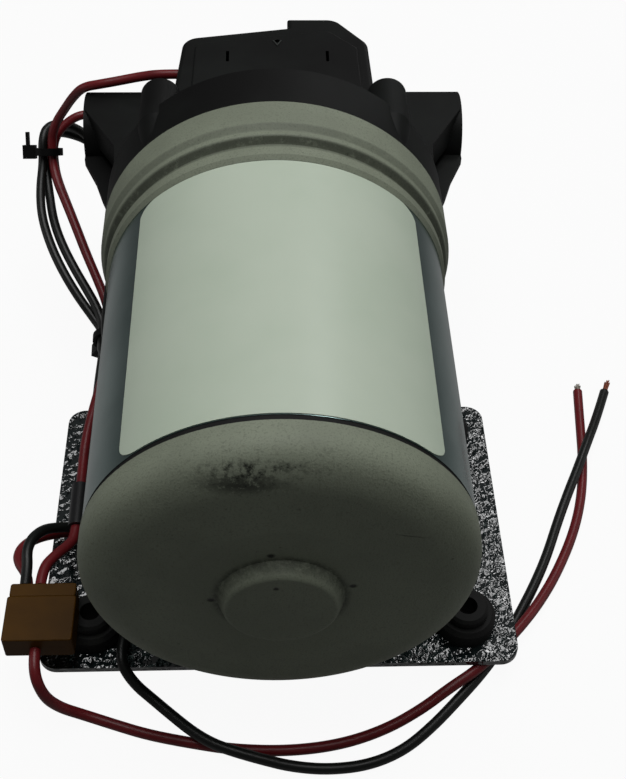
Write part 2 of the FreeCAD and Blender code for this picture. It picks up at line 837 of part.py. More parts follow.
def make_drive():
    half = size("cam_bearing_width") / 2
    web = adapter_end - size("adapter_cavity")
    journal = tilted_rod(size("journal_radius"), half * 2, 0, -half, 0)
    collar = rod(size("journal_radius") - 1, size("swash_centre") - web - 2, 0, web + 0.5, 0)
    bore = rod(size("shaft_radius"), size("adapter_length") * 2, 0, web - 5, 0)
    keep("cam_hub", cut(join(journal, collar), bore))
    where = {"y": size("swash_centre"), "rotation": TILTED}
    split, half_gap = size("cam_race_radius"), size("bearing_gap") / 2
    keep("cam_bearing_inner", ring(size("journal_radius"), split, -half, half * 2, **where))
    keep("cam_bearing_outer", ring(split + half_gap * 2, size("cam_bearing_radius"), -half,
                                   half * 2, **where))


def make_wobble_plate():
    half = size("cam_bearing_width") / 2
    level = diaphragm_level()
    pad_top = level - size("diaphragm_thickness") / 2 - size("sheet_gap")
    root = size("post_root")
    hub = [tilted_rod(size("cam_bearing_radius") + size("plate_hub_wall"), half * 2, 0, -half, 0)]
    posts, holes = [], [tilted_rod(size("cam_bearing_radius"), half * 4, 0, -half * 2, 0)]
    for u, w in piston_places():
        posts.append(tilted_rod(size("post_radius"), pad_top + root, u, -root, w))
        holes.append(tilted_rod(size("piston_screw_radius") + size("thread_gap"),
                                size("piston_screw_length"), u, pad_top - 9, w))
    keep("wobble_plate", cut(join(*hub, *posts), *holes))
    pistons, screws = [], []
    seat = level + size("diaphragm_thickness") / 2 + size("sheet_gap")
    thick, screw = size("piston_thickness"), size("piston_screw_radius")
    head = size("piston_screw_head")
    for u, w in piston_places():
        dish = tilted_rod(size("piston_radius"), thick, u, seat, w)
        sink = tilted_rod(screw * 2 + 0.1, thick, u, seat + thick - head - 0.2, w)
        bore = tilted_rod(screw + size("thread_gap"), thick * 2, u, seat - thick / 2, w)
        pistons.append(cut(dish, sink, bore))
        reach = size("piston_screw_length")
        head_y = seat + thick - head - 0.15
        screws.append(join(tilted_rod(screw, reach, u, head_y - reach, w),
                           tilted_rod(screw * 2, head, u, head_y, w)))
    keep("pistons", group(*pistons))
    keep("piston_screws", group(*screws))


def make_diaphragm():
    """Flat sheet whose five pads stand where the rocking plate holds them."""
    level = diaphragm_level()
    thick = SIZES["diaphragm_thickness"]
    middle_y = (seam_y + sheet_start + size("diaphragm_thickness") / 2).value
    height = axis_z.value
    up = Vector(0, 1, 0)
    lean = TILTED.multVec(up)
    sheet_disc = Part.makeCylinder(SIZES["diaphragm_radius"], thick,
                                   Vector(0, middle_y - thick / 2, height), up)
    hole_radius, pad_radius = SIZES["chamber_radius"] - 0.4, SIZES["piston_radius"]
    solid = sheet_disc
    for u, w in piston_places():
        flat = Vector(u.value, middle_y, height + w.value)
        x, y, z = tilted(u, level, w)
        pad = Vector(x.value, (seam_y + y).value, (axis_z + z).value)
        solid = solid.cut(Part.makeCylinder(hole_radius, thick * 3, flat - up * thick * 1.5, up))
        pad_disc = Part.makeCylinder(pad_radius, thick, pad - lean * (thick / 2), lean)
        skirt = ruled_ring(flat, up, hole_radius, pad, lean, pad_radius, thick)
        bore = Part.makeCylinder(SIZES["piston_screw_radius"] + 0.3, thick * 3,
                                 pad - lean * thick * 1.5, lean)
        solid = solid.fuse([skirt, pad_disc]).cut(bore)
    solid = solid.removeSplitter()
    rubber = doc.addObject("Part::Feature", "Diaphragm")
    rubber.Shape = solid
    keep("diaphragm", rubber)


def circle_at(centre, axis, radius):
    """Circle whose start lies towards +X, so that two of them line up."""
    curve = Part.Circle(centre, axis, radius)
    curve.XAxis = Vector(1, 0, 0)
    return curve.toShape()


def ruled_ring(outer_centre, outer_axis, outer_radius, inner_centre, inner_axis,
               inner_radius, thick):
    """Sloping rubber ring between the sheet's hole and a pad's edge."""
    edges = {}
    for side in (-1, 1):
        edges["outer", side] = circle_at(outer_centre + outer_axis * (side * thick / 2),
                                         outer_axis, outer_radius)
        edges["inner", side] = circle_at(inner_centre + inner_axis * (side * thick / 2),
                                         inner_axis, inner_radius)
    pairs = [(("outer", 1), ("inner", 1)), (("outer", -1), ("inner", -1)),
             (("outer", 1), ("outer", -1)), (("inner", 1), ("inner", -1))]
    faces = [Part.makeRuledSurface(edges[a], edges[b]) for a, b in pairs]
    shell = Part.makeShell([face for ruled in faces for face in ruled.Faces])
    shell.sewShape()
    solid = Part.makeSolid(shell)
    if solid.Volume < 0:
        solid.reverse()
    return solid


# Pump head
def head_screw_places():
    return [polar(size("head_screw_circle"), 45 + i * 90) for i in range(4)]


def make_lower_housing():
    start, end = adapter_end, sheet_start
    rebate = size("diaphragm_thickness")
    body = turned([(size("housing_bore"), start), (size("flange_radius"), start),
                   (size("flange_radius"), end + rebate),
                   (size("diaphragm_radius") + 0.1, end + rebate),
                   (size("diaphragm_radius") + 0.1, end), (size("housing_bore"), end)])
    wide = size("head_screw_radius") + size("screw_gap")
    tower, low = size("tower_radius"), size("ear_radius")
    ears = [turned([(0, start), (low, start), (tower, end + rebate), (0, end + rebate)], x=x, z=z)
            for x, z in head_screw_places()]
    pocket = rod(size("diaphragm_radius") + 0.1, rebate * 2, 0, end, 0)
    drills = [rod(wide, size("housing_length") * 3, x, start - 4, z)
              for x, z in head_screw_places()]
    keep("lower_housing", cut(join(body, *ears), pocket, *drills))


def make_valve_plate():
    start, thick = head_start, size("valve_plate_thickness")
    stem_radius, port, gap = size("valve_stem_radius"), size("valve_port_radius"), size("valve_gap")
    outlet_stem, side = size("outlet_stem_radius"), SIZES["valve_port_angle"]
    disc = ring(ZERO, size("valve_plate_radius"), start, thick)
    holes = []
    inlets = []
    roof = start + size("chamber_depth")
    for i in range(SIZES["piston_count"]):
        degrees = 180 + i * 360 / SIZES["piston_count"]
        x, z = polar(size("piston_circle"), degrees)
        holes.append(rod(size("chamber_radius"), size("chamber_depth") + 1, x, start - 1, z))
        holes.append(rod(stem_radius + gap, thick * 2, x, start, z))
        for offset in (-side, side):
            px, pz = polar(size("piston_circle") + 3, degrees + offset)
            holes.append(rod(port, thick * 2, px, start, pz))
        px, pz = polar(size("outlet_wall_radius") - 2.4, degrees)
        holes.append(rod(port, thick * 2, px, start, pz))
        stem = rod(stem_radius, thick - size("chamber_depth") + 2.0, x, roof - 1, z)
        cap_thick = size("valve_cap_thickness")
        cap = rod(size("valve_cap_radius"), cap_thick, x, roof - cap_thick - gap, z)
        knob = rod(size("valve_knob_radius"), 1.2, x, start + thick + gap, z)
        inlets.append(join(stem, cap, knob))
    holes.append(rod(outlet_stem + gap, thick * 3, 0, start - 1, 0))
    keep("valve_plate", cut(disc, *holes))
    keep("inlet_valves", group(*inlets))
    top = start + thick
    radius = size("outlet_wall_radius") - 0.5
    under, tail = top + gap, top - thick + 0.5
    edge, crown = under + size("outlet_disc_thickness"), top + size("outlet_crown")
    keep("outlet_valve", turned([(0, tail), (outlet_stem, tail), (outlet_stem, under),
                                 (radius, under), (radius, edge), (outlet_stem * 3, crown),
                                 (0, crown)]))
    wall, half = size("outlet_wall_radius") + size("outlet_wall") / 2, size("seal_half_width")
    keep("gallery_seal", ring(wall - half, wall + half, under, size("seal_height")))


def gusset_points(side):
    """Outline, seen from above, of the web between the flange and a port's end."""
    flange = head_start + size("top_flange")
    rim, centre, reach = size("flange_radius"), size("port_centre"), size("port_reach")
    slope = [(rim * 0.5, flange - 0.5), (rim - 0.2, flange - 0.5), (rim + 2.6, flange + 7),
             (rim + 5.4, flange + 16), (reach, centre - size("port_radius") - 2),
             (reach, centre), (rim * 0.5, centre)]
    return [(u * side, v) for u, v in slope]


def shoulder_points(side):
    """Outline, seen from above, of the flat-topped block between the dome and a port."""
    flange = head_start + size("top_flange")
    rim, centre, reach = size("flange_radius"), size("port_centre"), size("port_reach")
    slope = [(rim * 0.5, flange + 1), (rim - 3.0, flange), (size("shoulder_reach"), centre - 25.5),
             (reach - 0.5, centre - 5), (reach - 0.5, centre + 4.5), (rim * 0.5, centre + 4.5)]
    return [(u * side, v) for u, v in slope]


def make_upper_housing():
    flange_y = head_start
    rim_top = flange_y + size("top_flange")
    inside = size("valve_plate_radius") + 0.1
    plate_end = flange_y + size("valve_plate_thickness")
    dome_top = rim_top + size("dome_height")
    gallery_top = plate_end + size("gallery_depth")
    outlet_top = plate_end + size("outlet_gallery_depth")
    wall_in = size("outlet_wall_radius")
    wall_out = wall_in + size("outlet_wall")
    shell = turned([(0, flange_y), (size("flange_radius"), flange_y),
                    (size("flange_radius"), rim_top), (size("dome_radius"), rim_top),
                    (size("dome_radius"), rim_top + size("dome_straight")),
                    (size("dome_top_radius"), dome_top), (0, dome_top)])
    hollow = turned([(0, flange_y - 1), (inside, flange_y - 1), (inside, plate_end),
                     (inside - 2, plate_end), (inside - 2, gallery_top), (wall_out, gallery_top),
                     (wall_out, plate_end), (wall_in, plate_end), (wall_in, outlet_top),
                     (0, outlet_top)])
    seal, seal_gap = (wall_in + wall_out) / 2, size("seal_half_width") + size("valve_gap")
    seal_groove = ring(seal - seal_gap, seal + seal_gap, plate_end - 1, size("seal_height") + 1.1)
    half = size("manifold_width") / 2
    block_y = dome_top - 6
    length = size("manifold_end") - block_y
    height = size("manifold_top") + size("manifold_bottom")
    manifold = extruded([(-half, block_y), (half, block_y), (half, size("manifold_end")),
                         (-half, size("manifold_end"))], height, 0, 0, -size("manifold_bottom"))
    round_edges(manifold, size("manifold_corner"), is_upright(None, size("manifold_end")))
    additions, holes = [manifold], [hollow, seal_groove]
    centre, reach = size("port_centre"), size("port_reach")
    thick = size("gusset_thickness")
    for side in (-1, 1):
        turn = Rotation(Vector(0, 1, 0), 90 * side)
        port = rod(size("port_radius"), reach - half / 2, half / 2 * side, centre, 0, turn)
        web = extruded(gusset_points(side), thick, 0, 0, -size("gusset_low"))
        foot = size("shoulder_foot")
        shoulder = extruded(shoulder_points(side), size("shoulder_top") - foot, 0, 0, foot)
        additions += [port, web, shoulder]
        mouth = reach - size("port_thread_depth")
        holes.append(rod(size("port_bore"), size("port_thread_depth") + 1, mouth * side, centre,
                         0, turn))
        passage_end = half * 0.45 if side < 0 else Dim(2.0)
        holes.append(rod(size("port_passage"), mouth - passage_end + 1, passage_end * side,
                         centre, 0, turn))
    inlet = size("inlet_passage")
    holes.append(rod(inlet, centre - gallery_top + 1, -(wall_out + inlet + 2), gallery_top - 1, 0))
    holes.append(rod(size("port_passage"), centre - gallery_top, 5, gallery_top + 2, 0))
    sink = size("screw_head_height") + 0.2
    for x, z in head_screw_places():
        tower, tall = size("tower_radius"), size("top_flange") + size("tower_height")
        lump = turned([(0, 0), (tower, 0), (tower, tall), (0, tall)], x=x, y=flange_y, z=z)
        additions.append(round_edges(lump, size("tower_round"), is_ring(tower, tall)))
        holes.append(rod(size("head_screw_radius") + size("screw_gap"),
                         size("tower_height") * 3, x, flange_y - 5, z))
        holes.append(rod(size("head_screw_radius") * 2 + 0.15, tall, x, flange_y + tall - sink, z))
    pocket_z = size("manifold_top") - size("switch_pocket_depth")
    axis_x, axis_y = size("switch_axis_x"), size("switch_axis_y")
    holes.append(rod(size("switch_pocket_radius"), size("switch_pocket_depth") + 1, axis_x,
                     axis_y, pocket_z, ALONG_Z))
    tap, arm = size("tap_radius"), size("plunger_arm_width") + 2
    holes.append(rod(tap, pocket_z + 1, axis_x, axis_y, 0, ALONG_Z))
    holes.append(rod(tap, axis_y - centre, axis_x, centre, 0))
    holes.append(block(size("microswitch_offset") + 3, arm, size("switch_pocket_depth") - 2,
                       axis_x, axis_y - arm / 2, pocket_z + 3))
    keep("upper_housing", cut(join(shell, *additions), *holes))
    screws = []
    for x, z in head_screw_places():
        head_y = rim_top + size("tower_height") - sink + 0.05
        length = head_y - (adapter_end - size("head_screw_depth"))
        screws.append(join(rod(size("head_screw_radius"), length, x, head_y - length, z),
                           rod(size("head_screw_radius") * 2, size("screw_head_height"), x,
                               head_y, z)))
    keep("head_screws", group(*screws))


# Pressure switch on top of the head
def cover_points(shrink):
    """Outline of the switch cover seen from above, drawn in by a wall."""
    half, back = size("cover_half_width"), size("cover_back")
    far, step = size("manifold_end") + size("cover_overhang"), size("cover_notch")
    slope, corner = size("cover_slope"), size("cover_corner_x")
    return [(-half + shrink, back + shrink),
            (-half + 2.4 + shrink, far - step - slope - shrink),
            (5 + shrink, far - step - shrink), (5 + shrink, far - shrink),
            (corner - shrink * 0.5, far - shrink),
            (half - 0.7 - shrink, far - size("cover_bevel") - shrink * 0.4),
            (half - shrink, back + shrink)]


def crown_points():
    """Outline of the slightly raised middle of the cover's top."""
    half, back = size("cover_half_width"), size("cover_back")
    far, margin = size("manifold_end") + size("cover_overhang"), size("cover_margin")
    return [(-half + margin, back + 0.9), (-half + margin + 0.6, far - 16.5),
            (5, far - margin - 5), (size("cover_corner_x") - 3, far - margin - 2.5),
            (half - margin + 1.5, far - 19), (half - margin + 2, back + 0.9)]


def make_switch_cover():
    base, height, wall = size("manifold_top"), size("cover_height"), size("cover_wall")
    rim = height - size("cover_crown")
    outer = extruded(cover_points(0), rim, 0, 0, base)
    points = cover_points(0)
    for place_x, place_y in (points[1], points[4], points[5]):
        round_edges(outer, size("cover_corner_round"), is_upright(place_x, place_y))
    doc.recompute()
    round_edges(outer, size("cover_edge_round"), is_flat_at(rim))
    crown = extruded(crown_points(), height - wall, 0, 0, base + wall)
    round_edges(crown, size("cover_corner_round") / 2, is_upright(None, None))
    round_edges(crown, size("cover_crown") * 0.8, is_flat_at(height - wall))
    inner = extruded(cover_points(wall), rim - wall, 0, 0, base)
    axis_x, axis_y = size("switch_axis_x"), size("switch_axis_y")
    tools = [inner, rod(size("adjuster_hole_radius"), height * 2, axis_x, axis_y, base, ALONG_Z)]
    slot, reach = size("cover_slot_width"), size("cover_slot_length")
    for x in (-15.1, 17.9):
        tools.append(block(slot, reach, height, x - slot / 2, axis_y - 12, base + height / 2))
    lead = size("wire_radius") + 0.15
    tools.append(rod(lead, wall * 3, -size("cover_half_width") - wall, axis_y - 4.6, base + 2.2,
                     ALONG_X))
    tools.append(rod(lead, wall * 3, size("return_exit_x"), size("manifold_end") - 5, base + 2.2))
    boss = cut(rod(size("adjuster_radius") + 2, Dim(2.2), axis_x, axis_y,
                   base + rim - wall - 2, ALONG_Z),
               rod(size("adjuster_radius") + 0.1, Dim(3.0), axis_x, axis_y,
                   base + rim - wall - 2.5, ALONG_Z))
    keep("switch_cover", join(cut(join(outer, crown), *tools), boss))


def make_switch_parts():
    base = size("manifold_top")
    axis_x, axis_y = size("switch_axis_x"), size("switch_axis_y")
    floor = base - size("switch_pocket_depth")
    radius = size("switch_pocket_radius") - 0.1
    rubber, thick = size("switch_rubber"), size("plunger_disc")
    keep("switch_diaphragm", rod(radius, rubber, axis_x, axis_y, floor + 0.05, ALONG_Z))
    foot = floor + rubber + 0.2
    disc = rod(radius - 0.4, thick, axis_x, axis_y, foot, ALONG_Z)
    stem = rod(size("plunger_stem_radius"), size("plunger_stem_height"), axis_x, axis_y, foot,
               ALONG_Z)
    arm_wide, arm_low = size("plunger_arm_width"), foot + size("plunger_arm_rise")
    arm = block(size("microswitch_offset") + 1, arm_wide, thick, axis_x, axis_y - arm_wide / 2,
                arm_low)
    keep("switch_plunger", join(disc, stem, arm))
    arm_top = arm_low + thick
    spring_low = arm_top + 0.2
    roof = base + size("cover_height") - size("cover_crown") - size("cover_wall")
    adjuster_low = roof - 3.3
    coil, gap = size("switch_spring_radius"), 0.1
    tall = adjuster_low - spring_low - gap * 2
    turns = [rod(radius, tall, axis_x, axis_y, spring_low + gap, ALONG_Z)
             for radius in (coil, coil - 1)]
    keep("switch_spring", cut(*turns))
    screw = rod(size("adjuster_radius"), roof - adjuster_low - gap, axis_x, axis_y, adjuster_low,
                ALONG_Z)
    washer = rod(coil, Dim(1.0), axis_x, axis_y, adjuster_low, ALONG_Z)
    socket = rod(Dim(1.2), Dim(2.0), axis_x, axis_y, roof - 2, ALONG_Z)
    keep("adjusting_screw", cut(join(screw, washer), socket))
    button_x = axis_x + size("microswitch_offset") - 1
    wide, shell_z = size("microswitch_width"), base + size("microswitch_floor")
    body = block(size("microswitch_length"), wide, size("microswitch_height"),
                 button_x - size("button_inset"), axis_y - wide / 2, shell_z)
    button = size("button_radius")
    well = rod(button + 0.05, size("switch_travel") + 2.2, button_x, axis_y, shell_z - 0.5, ALONG_Z)
    keep("microswitch", cut(body, well))
    keep("microswitch_button", rod(button, shell_z + 1.2 - arm_top - 0.05, button_x, axis_y,
                                   arm_top + 0.05, ALONG_Z))


# Leads: straight runs joined by tangent arcs
def tube(label, points, radius):
    """Wire along a route; prints its least bend radius and length."""
    points = [Vector(*p) for p in points]
    edges = []
    cursor = points[0]
    radii = []
    for before, corner, after in zip(points, points[1:], points[2:]):
        come, go = corner - before, after - corner
        turn = come.getAngle(go)
        trim = 0.45 * min(come.Length, go.Length)
        bend = trim / math.tan(turn / 2)
        radii.append(bend)
        come.normalize()
        go.normalize()
        first, last = corner - come * trim, corner + go * trim
        centre = corner + (go - come).normalize() * (bend / math.cos(turn / 2))
        middle = centre + (corner - centre).normalize() * bend
        edges.append(Part.LineSegment(cursor, first).toShape())
        edges.append(Part.Arc(first, middle, last).toShape())
        cursor = last
    edges.append(Part.LineSegment(cursor, points[-1]).toShape())
    path = Part.Wire(edges)
    start = (points[1] - points[0]).normalize()
    section = Part.Wire([Part.Circle(points[0], start, radius).toShape()])
    solid = path.makePipeShell([section], True, False)
    ideal = math.pi * radius * radius * path.Length
    print(f"{label}: length {path.Length:.1f}, least bend radius {min(radii):.1f}, "
          f"volume over section times length {solid.Volume / ideal:.4f}")
    return solid


def make_wire(label, points):
    wire = doc.addObject("Part::Feature", "Wire")
    wire.Shape = tube(label, points, SIZES["wire_radius"])
    keep(label, wire)


def make_tip(points):
    """Bare strands that stand out of a lead's cut end."""
    end, before = Vector(*points[-1]), Vector(*points[-2])
    along = (end - before).normalize()
    thing = bind(doc.addObject("Part::Cylinder", "Tip"), Radius=size("strand_radius"),
                 Height=size("strand_length"))
    thing.Placement = Placement(end, Rotation(Vector(0, 0, 1), along))
    return thing


def aimed(centre, direction, spin=0.0):
    """Placement whose Z looks along a direction, turned about it by some degrees."""
    turn = Rotation(Vector(0, 0, 1), Vector(*direction))
    return Placement(Vector(*centre), turn.multiply(Rotation(Vector(0, 0, 1), spin)))


def make_tie(label, centre, direction, spin):
    """Cable tie: its strap round the wires, its head to one side and the cut tail."""
    inner, strap = size("tie_inner_radius"), size("tie_strap_thickness")
    width, head = size("tie_width"), size("tie_head")
    frame = aimed(centre, direction, spin)
    loop = bind(doc.addObject("Part::Cylinder", "Loop"), Radius=inner + strap, Height=width)
    eye = bind(doc.addObject("Part::Cylinder", "Eye"), Radius=inner, Height=width * 4)
    lock = bind(doc.addObject("Part::Box", "Lock"), Length=head, Width=head, Height=head * 1.1)
    tail = bind(doc.addObject("Part::Box", "Tail"), Length=strap, Width=width, Height=head * 1.7)
    offsets = {loop: (0, 0, -width.value / 2), eye: (0, 0, -width.value * 2),
               lock: (-(inner.value + head.value + strap.value * 0.2), -head.value / 2,
                      -head.value * 0.55),
               tail: (-(inner.value + head.value * 0.8), -width.value / 2, -head.value * 1.6)}
    for piece, offset in offsets.items():
        piece.Placement = frame.multiply(Placement(Vector(*offset), Rotation()))
    keep(label, cut(join(loop, lock, tail), eye))


# Routes of the wires, in the part's frame. Each is a list of points chosen by hand.
CONNECTOR_CORNER = (-77.6, -50.5, 17.9)
FLOOR = SIZES["wire_radius"] + 0.02
OVER = FLOOR + 3.4
UNDER_PLATE = FLOOR + 3.25
RED_LEAD = [(-68.7, -50.5, 20.8), (-68.7, -56.8, 20.8), (-66.4, -61.0, 14.0),
            (-62.6, -61.1, 7.4), (-56.5, -61.2, 3.2), (-47.3, -63.8, FLOOR),
            (-37.7, -67.1, FLOOR), (-25.8, -69.8, FLOOR), (-13.0, -72.2, FLOOR),
            (2.4, -72.9, FLOOR), (17.0, -71.2, FLOOR), (30.0, -66.8, FLOOR),
            (41.0, -60.9, 2.6), (49.0, -55.8, UNDER_PLATE), (57.5, -50.2, UNDER_PLATE),
            (66.0, -42.4, UNDER_PLATE), (73.0, -35.1, UNDER_PLATE), (80.0, -26.0, 3.2),
            (87.3, -14.6, FLOOR), (95.0, 0.1, FLOOR), (100.2, 14.5, FLOOR),
            (103.5, 30.5, FLOOR), (105.4, 47.5, FLOOR), (107.1, 62.3, FLOOR)]
BLACK_LEAD = [(-39.6, 48.7, 37.2), (-49.3, 48.7, 30.1), (-50.6, 60.0, 31.5),
              (-50.3, 77.0, 33.0), (-50.5, 96.0, 34.0), (-52.0, 114.0, 35.5),
              (-55.0, 130.0, 37.0), (-60.5, 144.5, 40.0), (-68.0, 151.5, 44.5),
              (-75.0, 151.0, 48.5), (-80.5, 146.5, 52.6), (-82.85, 140.1, 53.5),
              (-82.8, 135.5, 46.9), (-81.0, 126.0, 42.0), (-78.6, 113.3, 39.0),
              (-74.8, 103.3, 36.0), (-69.9, 94.6, 32.0), (-65.2, 87.1, 28.9),
              (-61.5, 80.6, 26.7), (-59.1, 74.0, 24.6), (-59.2, 66.0, 23.8),
              (-58.2, 59.2, 27.4), (-53.4, 51.5, 28.0), (-48.8, 42.5, 23.5),
              (-45.6, 31.0, 15.5), (-44.8, 18.0, 10.8), (-44.9, 2.0, 10.4),
              (-44.7, -13.0, 10.4), (-44.2, -26.0, 10.6), (-44.1, -36.5, 11.6),
              (-45.6, -44.0, 13.0), (-45.6, -50.3, 12.4), (-41.9, -54.4, 8.0),
              (-36.5, -58.2, 5.6), (-30.6, -63.3, OVER), (-24.8, -68.3, OVER),
              (-19.1, -72.0, OVER), (-13.0, -74.4, OVER), (-5.5, -76.2, 3.7),
              (3.0, -77.8, 2.0), (13.4, -78.7, FLOOR), (24.7, -77.5, FLOOR),
              (34.8, -73.2, FLOOR), (43.5, -66.0, FLOOR), (51.5, -57.9, FLOOR),
              (59.9, -49.0, FLOOR), (67.4, -39.2, FLOOR), (73.8, -28.8, FLOOR),
              (79.6, -18.9, FLOOR), (85.2, -8.0, FLOOR), (90.6, 4.8, 2.4),
              (95.5, 15.3, 4.1), (100.3, 25.0, OVER), (105.2, 35.8, OVER),
              (111.0, 48.2, 3.5), (116.5, 61.7, 1.9)]
SWITCH_LEAD = [(-29.5, 130.2, 88.1), (-38.3, 130.5, 88.0), (-45.0, 132.0, 86.0),
               (-52.2, 131.8, 84.5), (-59.0, 131.2, 83.5), (-65.1, 132.6, 81.4),
               (-69.8, 135.6, 74.8), (-73.3, 138.9, 68.2), (-76.4, 139.4, 63.4),
               (-78.4, 138.4, 59.6), (-79.45, 137.3, 55.5), (-79.45, 132.7, 49.0),
               (-77.7, 126.6, 45.5), (-73.8, 118.0, 42.0), (-69.9, 109.0, 38.0),
               (-66.4, 100.9, 34.0), (-62.7, 93.2, 30.3), (-59.0, 84.6, 27.2),
               (-55.9, 74.0, 24.7), (-55.7, 66.0, 23.5), (-57.4, 52.0, 23.6),
               (-59.4, 38.0, 23.6), (-61.2, 25.0, 21.9), (-61.4, 13.8, 20.4),
               (-61.1, -11.6, 20.4), (-63.0, -15.4, 21.2), (-66.2, -20.0, 22.8),
               (-69.0, -25.2, 23.8), (-69.0, -31.2, 23.8)]
SWITCH_RETURN = [(11.5, 138.4, 88.1), (11.5, 155.0, 88.1), (8.0, 158.4, 81.8),
                 (-4.0, 158.2, 73.2), (-16.0, 158.2, 64.8), (-29.0, 156.6, 58.8),
                 (-42.0, 153.0, 55.8), (-55.5, 149.6, 57.0), (-68.3, 147.4, 60.4),
                 (-75.4, 145.0, 57.4),
                 (-79.45, 140.1, 53.5), (-79.45, 135.5, 47.0), (-78.3, 131.0, 42.8),
                 (-74.6, 122.6, 38.6), (-70.7, 113.5, 34.6), (-67.2, 105.2, 30.8),
                 (-63.5, 97.2, 26.8), (-59.6, 88.3, 23.2), (-55.9, 74.0, 21.2),
                 (-55.7, 66.0, 20.1), (-55.2, 53.0, 19.7), (-54.9, 40.0, 19.7),
                 (-55.0, 28.0, 19.3), (-55.1, 18.5, 15.0), (-55.5, 9.0, 11.2), (-57.4, 2.4, 10.5),
                 (-62.2, -2.4, 10.9), (-68.0, -4.8, 13.2), (-73.4, -8.2, 15.8),
                 (-77.2, -13.0, 18.0), (-78.0, -19.0, 19.4), (-73.4, -25.4, 20.0),
                 (-73.4, -31.2, 20.0)]
MOTOR_LEAD = [(-43.3, 48.7, 43.0), (-53.9, 48.7, 37.4), (-56.3, 60.0, 37.8),
              (-56.0, 77.0, 38.3), (-56.0, 96.0, 39.2), (-57.3, 114.0, 40.6),
              (-59.0, 129.0, 42.6), (-63.0, 142.5, 46.2), (-69.8, 149.6, 50.6),
              (-76.9, 148.6, 55.0), (-81.6, 143.0, 57.6), (-82.85, 137.3, 55.5),
              (-82.85, 132.7, 49.0), (-83.6, 124.0, 44.4), (-82.6, 114.0, 40.3),
              (-79.0, 103.4, 36.4), (-74.5, 94.7, 32.0), (-69.0, 86.6, 27.4),
              (-63.6, 80.2, 23.4), (-59.1, 74.0, 21.2), (-59.0, 66.0, 20.1),
              (-59.4, 52.0, 19.8), (-59.3, 38.0, 19.8), (-59.0, 26.0, 19.2),
              (-58.7, 12.0, 15.8), (-59.0, 0.5, 15.2), (-62.6, -4.6, 16.0),
              (-67.2, -6.6, 18.6), (-70.6, -9.6, 21.8), (-73.2, -14.2, 24.1),
              (-74.2, -19.4, 24.8), (-73.4, -25.0, 23.8), (-73.4, -31.2, 23.8)]


def make_leads():
    make_wire("red_lead", RED_LEAD)
    make_wire("black_lead", BLACK_LEAD)
    make_wire("switch_lead", SWITCH_LEAD)
    make_wire("switch_return", SWITCH_RETURN)
    make_wire("motor_lead", MOTOR_LEAD)
    keep("lead_tips", group(make_tip(RED_LEAD), make_tip(BLACK_LEAD)))
    make_tie("upper_cable_tie", (-81.15, 136.4, 51.3), (0, -0.577, -0.816), 0)
    make_tie("lower_cable_tie", (-57.4, 70.0, 22.35), (0.02, -0.99, -0.14), 60)
    sleeve = bind(doc.addObject("Part::Cylinder", "Sleeve"), Radius=size("sleeve_radius"),
                  Height=size("sleeve_length"))
    hollow = bind(doc.addObject("Part::Cylinder", "Hollow"), Radius=size("wire_radius") + 0.1,
                  Height=size("sleeve_length"))
    for piece in (sleeve, hollow):
        piece.Placement = aimed((-61.33, 7.6, 20.4), (0.0118, -1, 0))
    keep("wire_sleeve", cut(sleeve, hollow))
    make_connector()
    make_bushings()


def make_connector():
    """Plug and socket housings with the wires in their end faces."""
    width, length, height = (size("connector_width"), size("connector_length"),
                             size("connector_height"))
    rim, inset = size("connector_rim"), size("connector_inset")
    left, front, low = (Dim(offset) for offset in CONNECTOR_CORNER)
    for label, wide, long, tall, start, drawn_in in (
            ("connector_plug", width, length - 0.1, height, front, ZERO),
            ("connector_socket", width - inset * 2, rim - 0.1, height - inset * 2,
             front + length, inset)):
        shell = extruded([(0, 0), (wide, 0), (wide, long), (0, long)], tall, left + drawn_in,
                         start - seam_y, low + drawn_in - axis_z)
        round_edges(shell, size("connector_round"), is_upright(None, None))
        keep(label, round_edges(shell, size("connector_round") / 2, is_flat_at(tall)))


def make_bushings():
    """Rubber bushings through which the motor's two leads leave the front adapter."""
    bushings = []
    inner, top = size("wire_radius") + 0.1, lip_radius + size("bushing_collar")
    for degrees in BUSHING_ANGLES:
        tube_solid = cut(spoke(size("bushing_radius"), lip_radius - 6.3, top, degrees),
                         spoke(inner, lip_radius - 8, top + 2, degrees))
        collar = cut(spoke(size("bushing_radius") + 0.8, lip_radius + 0.35, top, degrees),
                     spoke(inner, lip_radius - 8, top + 2, degrees))
        bushings.append(join(tube_solid, collar))
    keep("lead_bushings", group(*bushings))


make_base_plate()
make_feet()
make_saddle()
make_can()
make_end_cap()
make_label()
make_adapter()
make_shaft()
make_armature()
make_magnets()
make_bearings()
make_brush_gear()
make_drive()
make_wobble_plate()
make_diaphragm()
make_lower_housing()
make_valve_plate()
make_upper_housing()
make_switch_cover()
make_switch_parts()
make_leads()

doc.recompute()
broken = [thing.Label for thing in doc.Objects
          if "Invalid" in thing.State or "Error" in thing.State]
if broken:
    raise RuntimeError(f"these objects failed: {broken}")
os.makedirs("parts", exist_ok=True)
for label, thing in parts.items():
    if thing.Shape.isNull() or not thing.Shape.isValid():
        raise RuntimeError(f"{label} has no valid shape")
    thing.Shape.exportStep(f"parts/{label}.step")
print(f"{len(parts)} sub-parts written")
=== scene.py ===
"""Looks of the diaphragm water pump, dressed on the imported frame. All lengths are in metres."""
import math

import bmesh
import bpy
from mathutils import Matrix, Vector


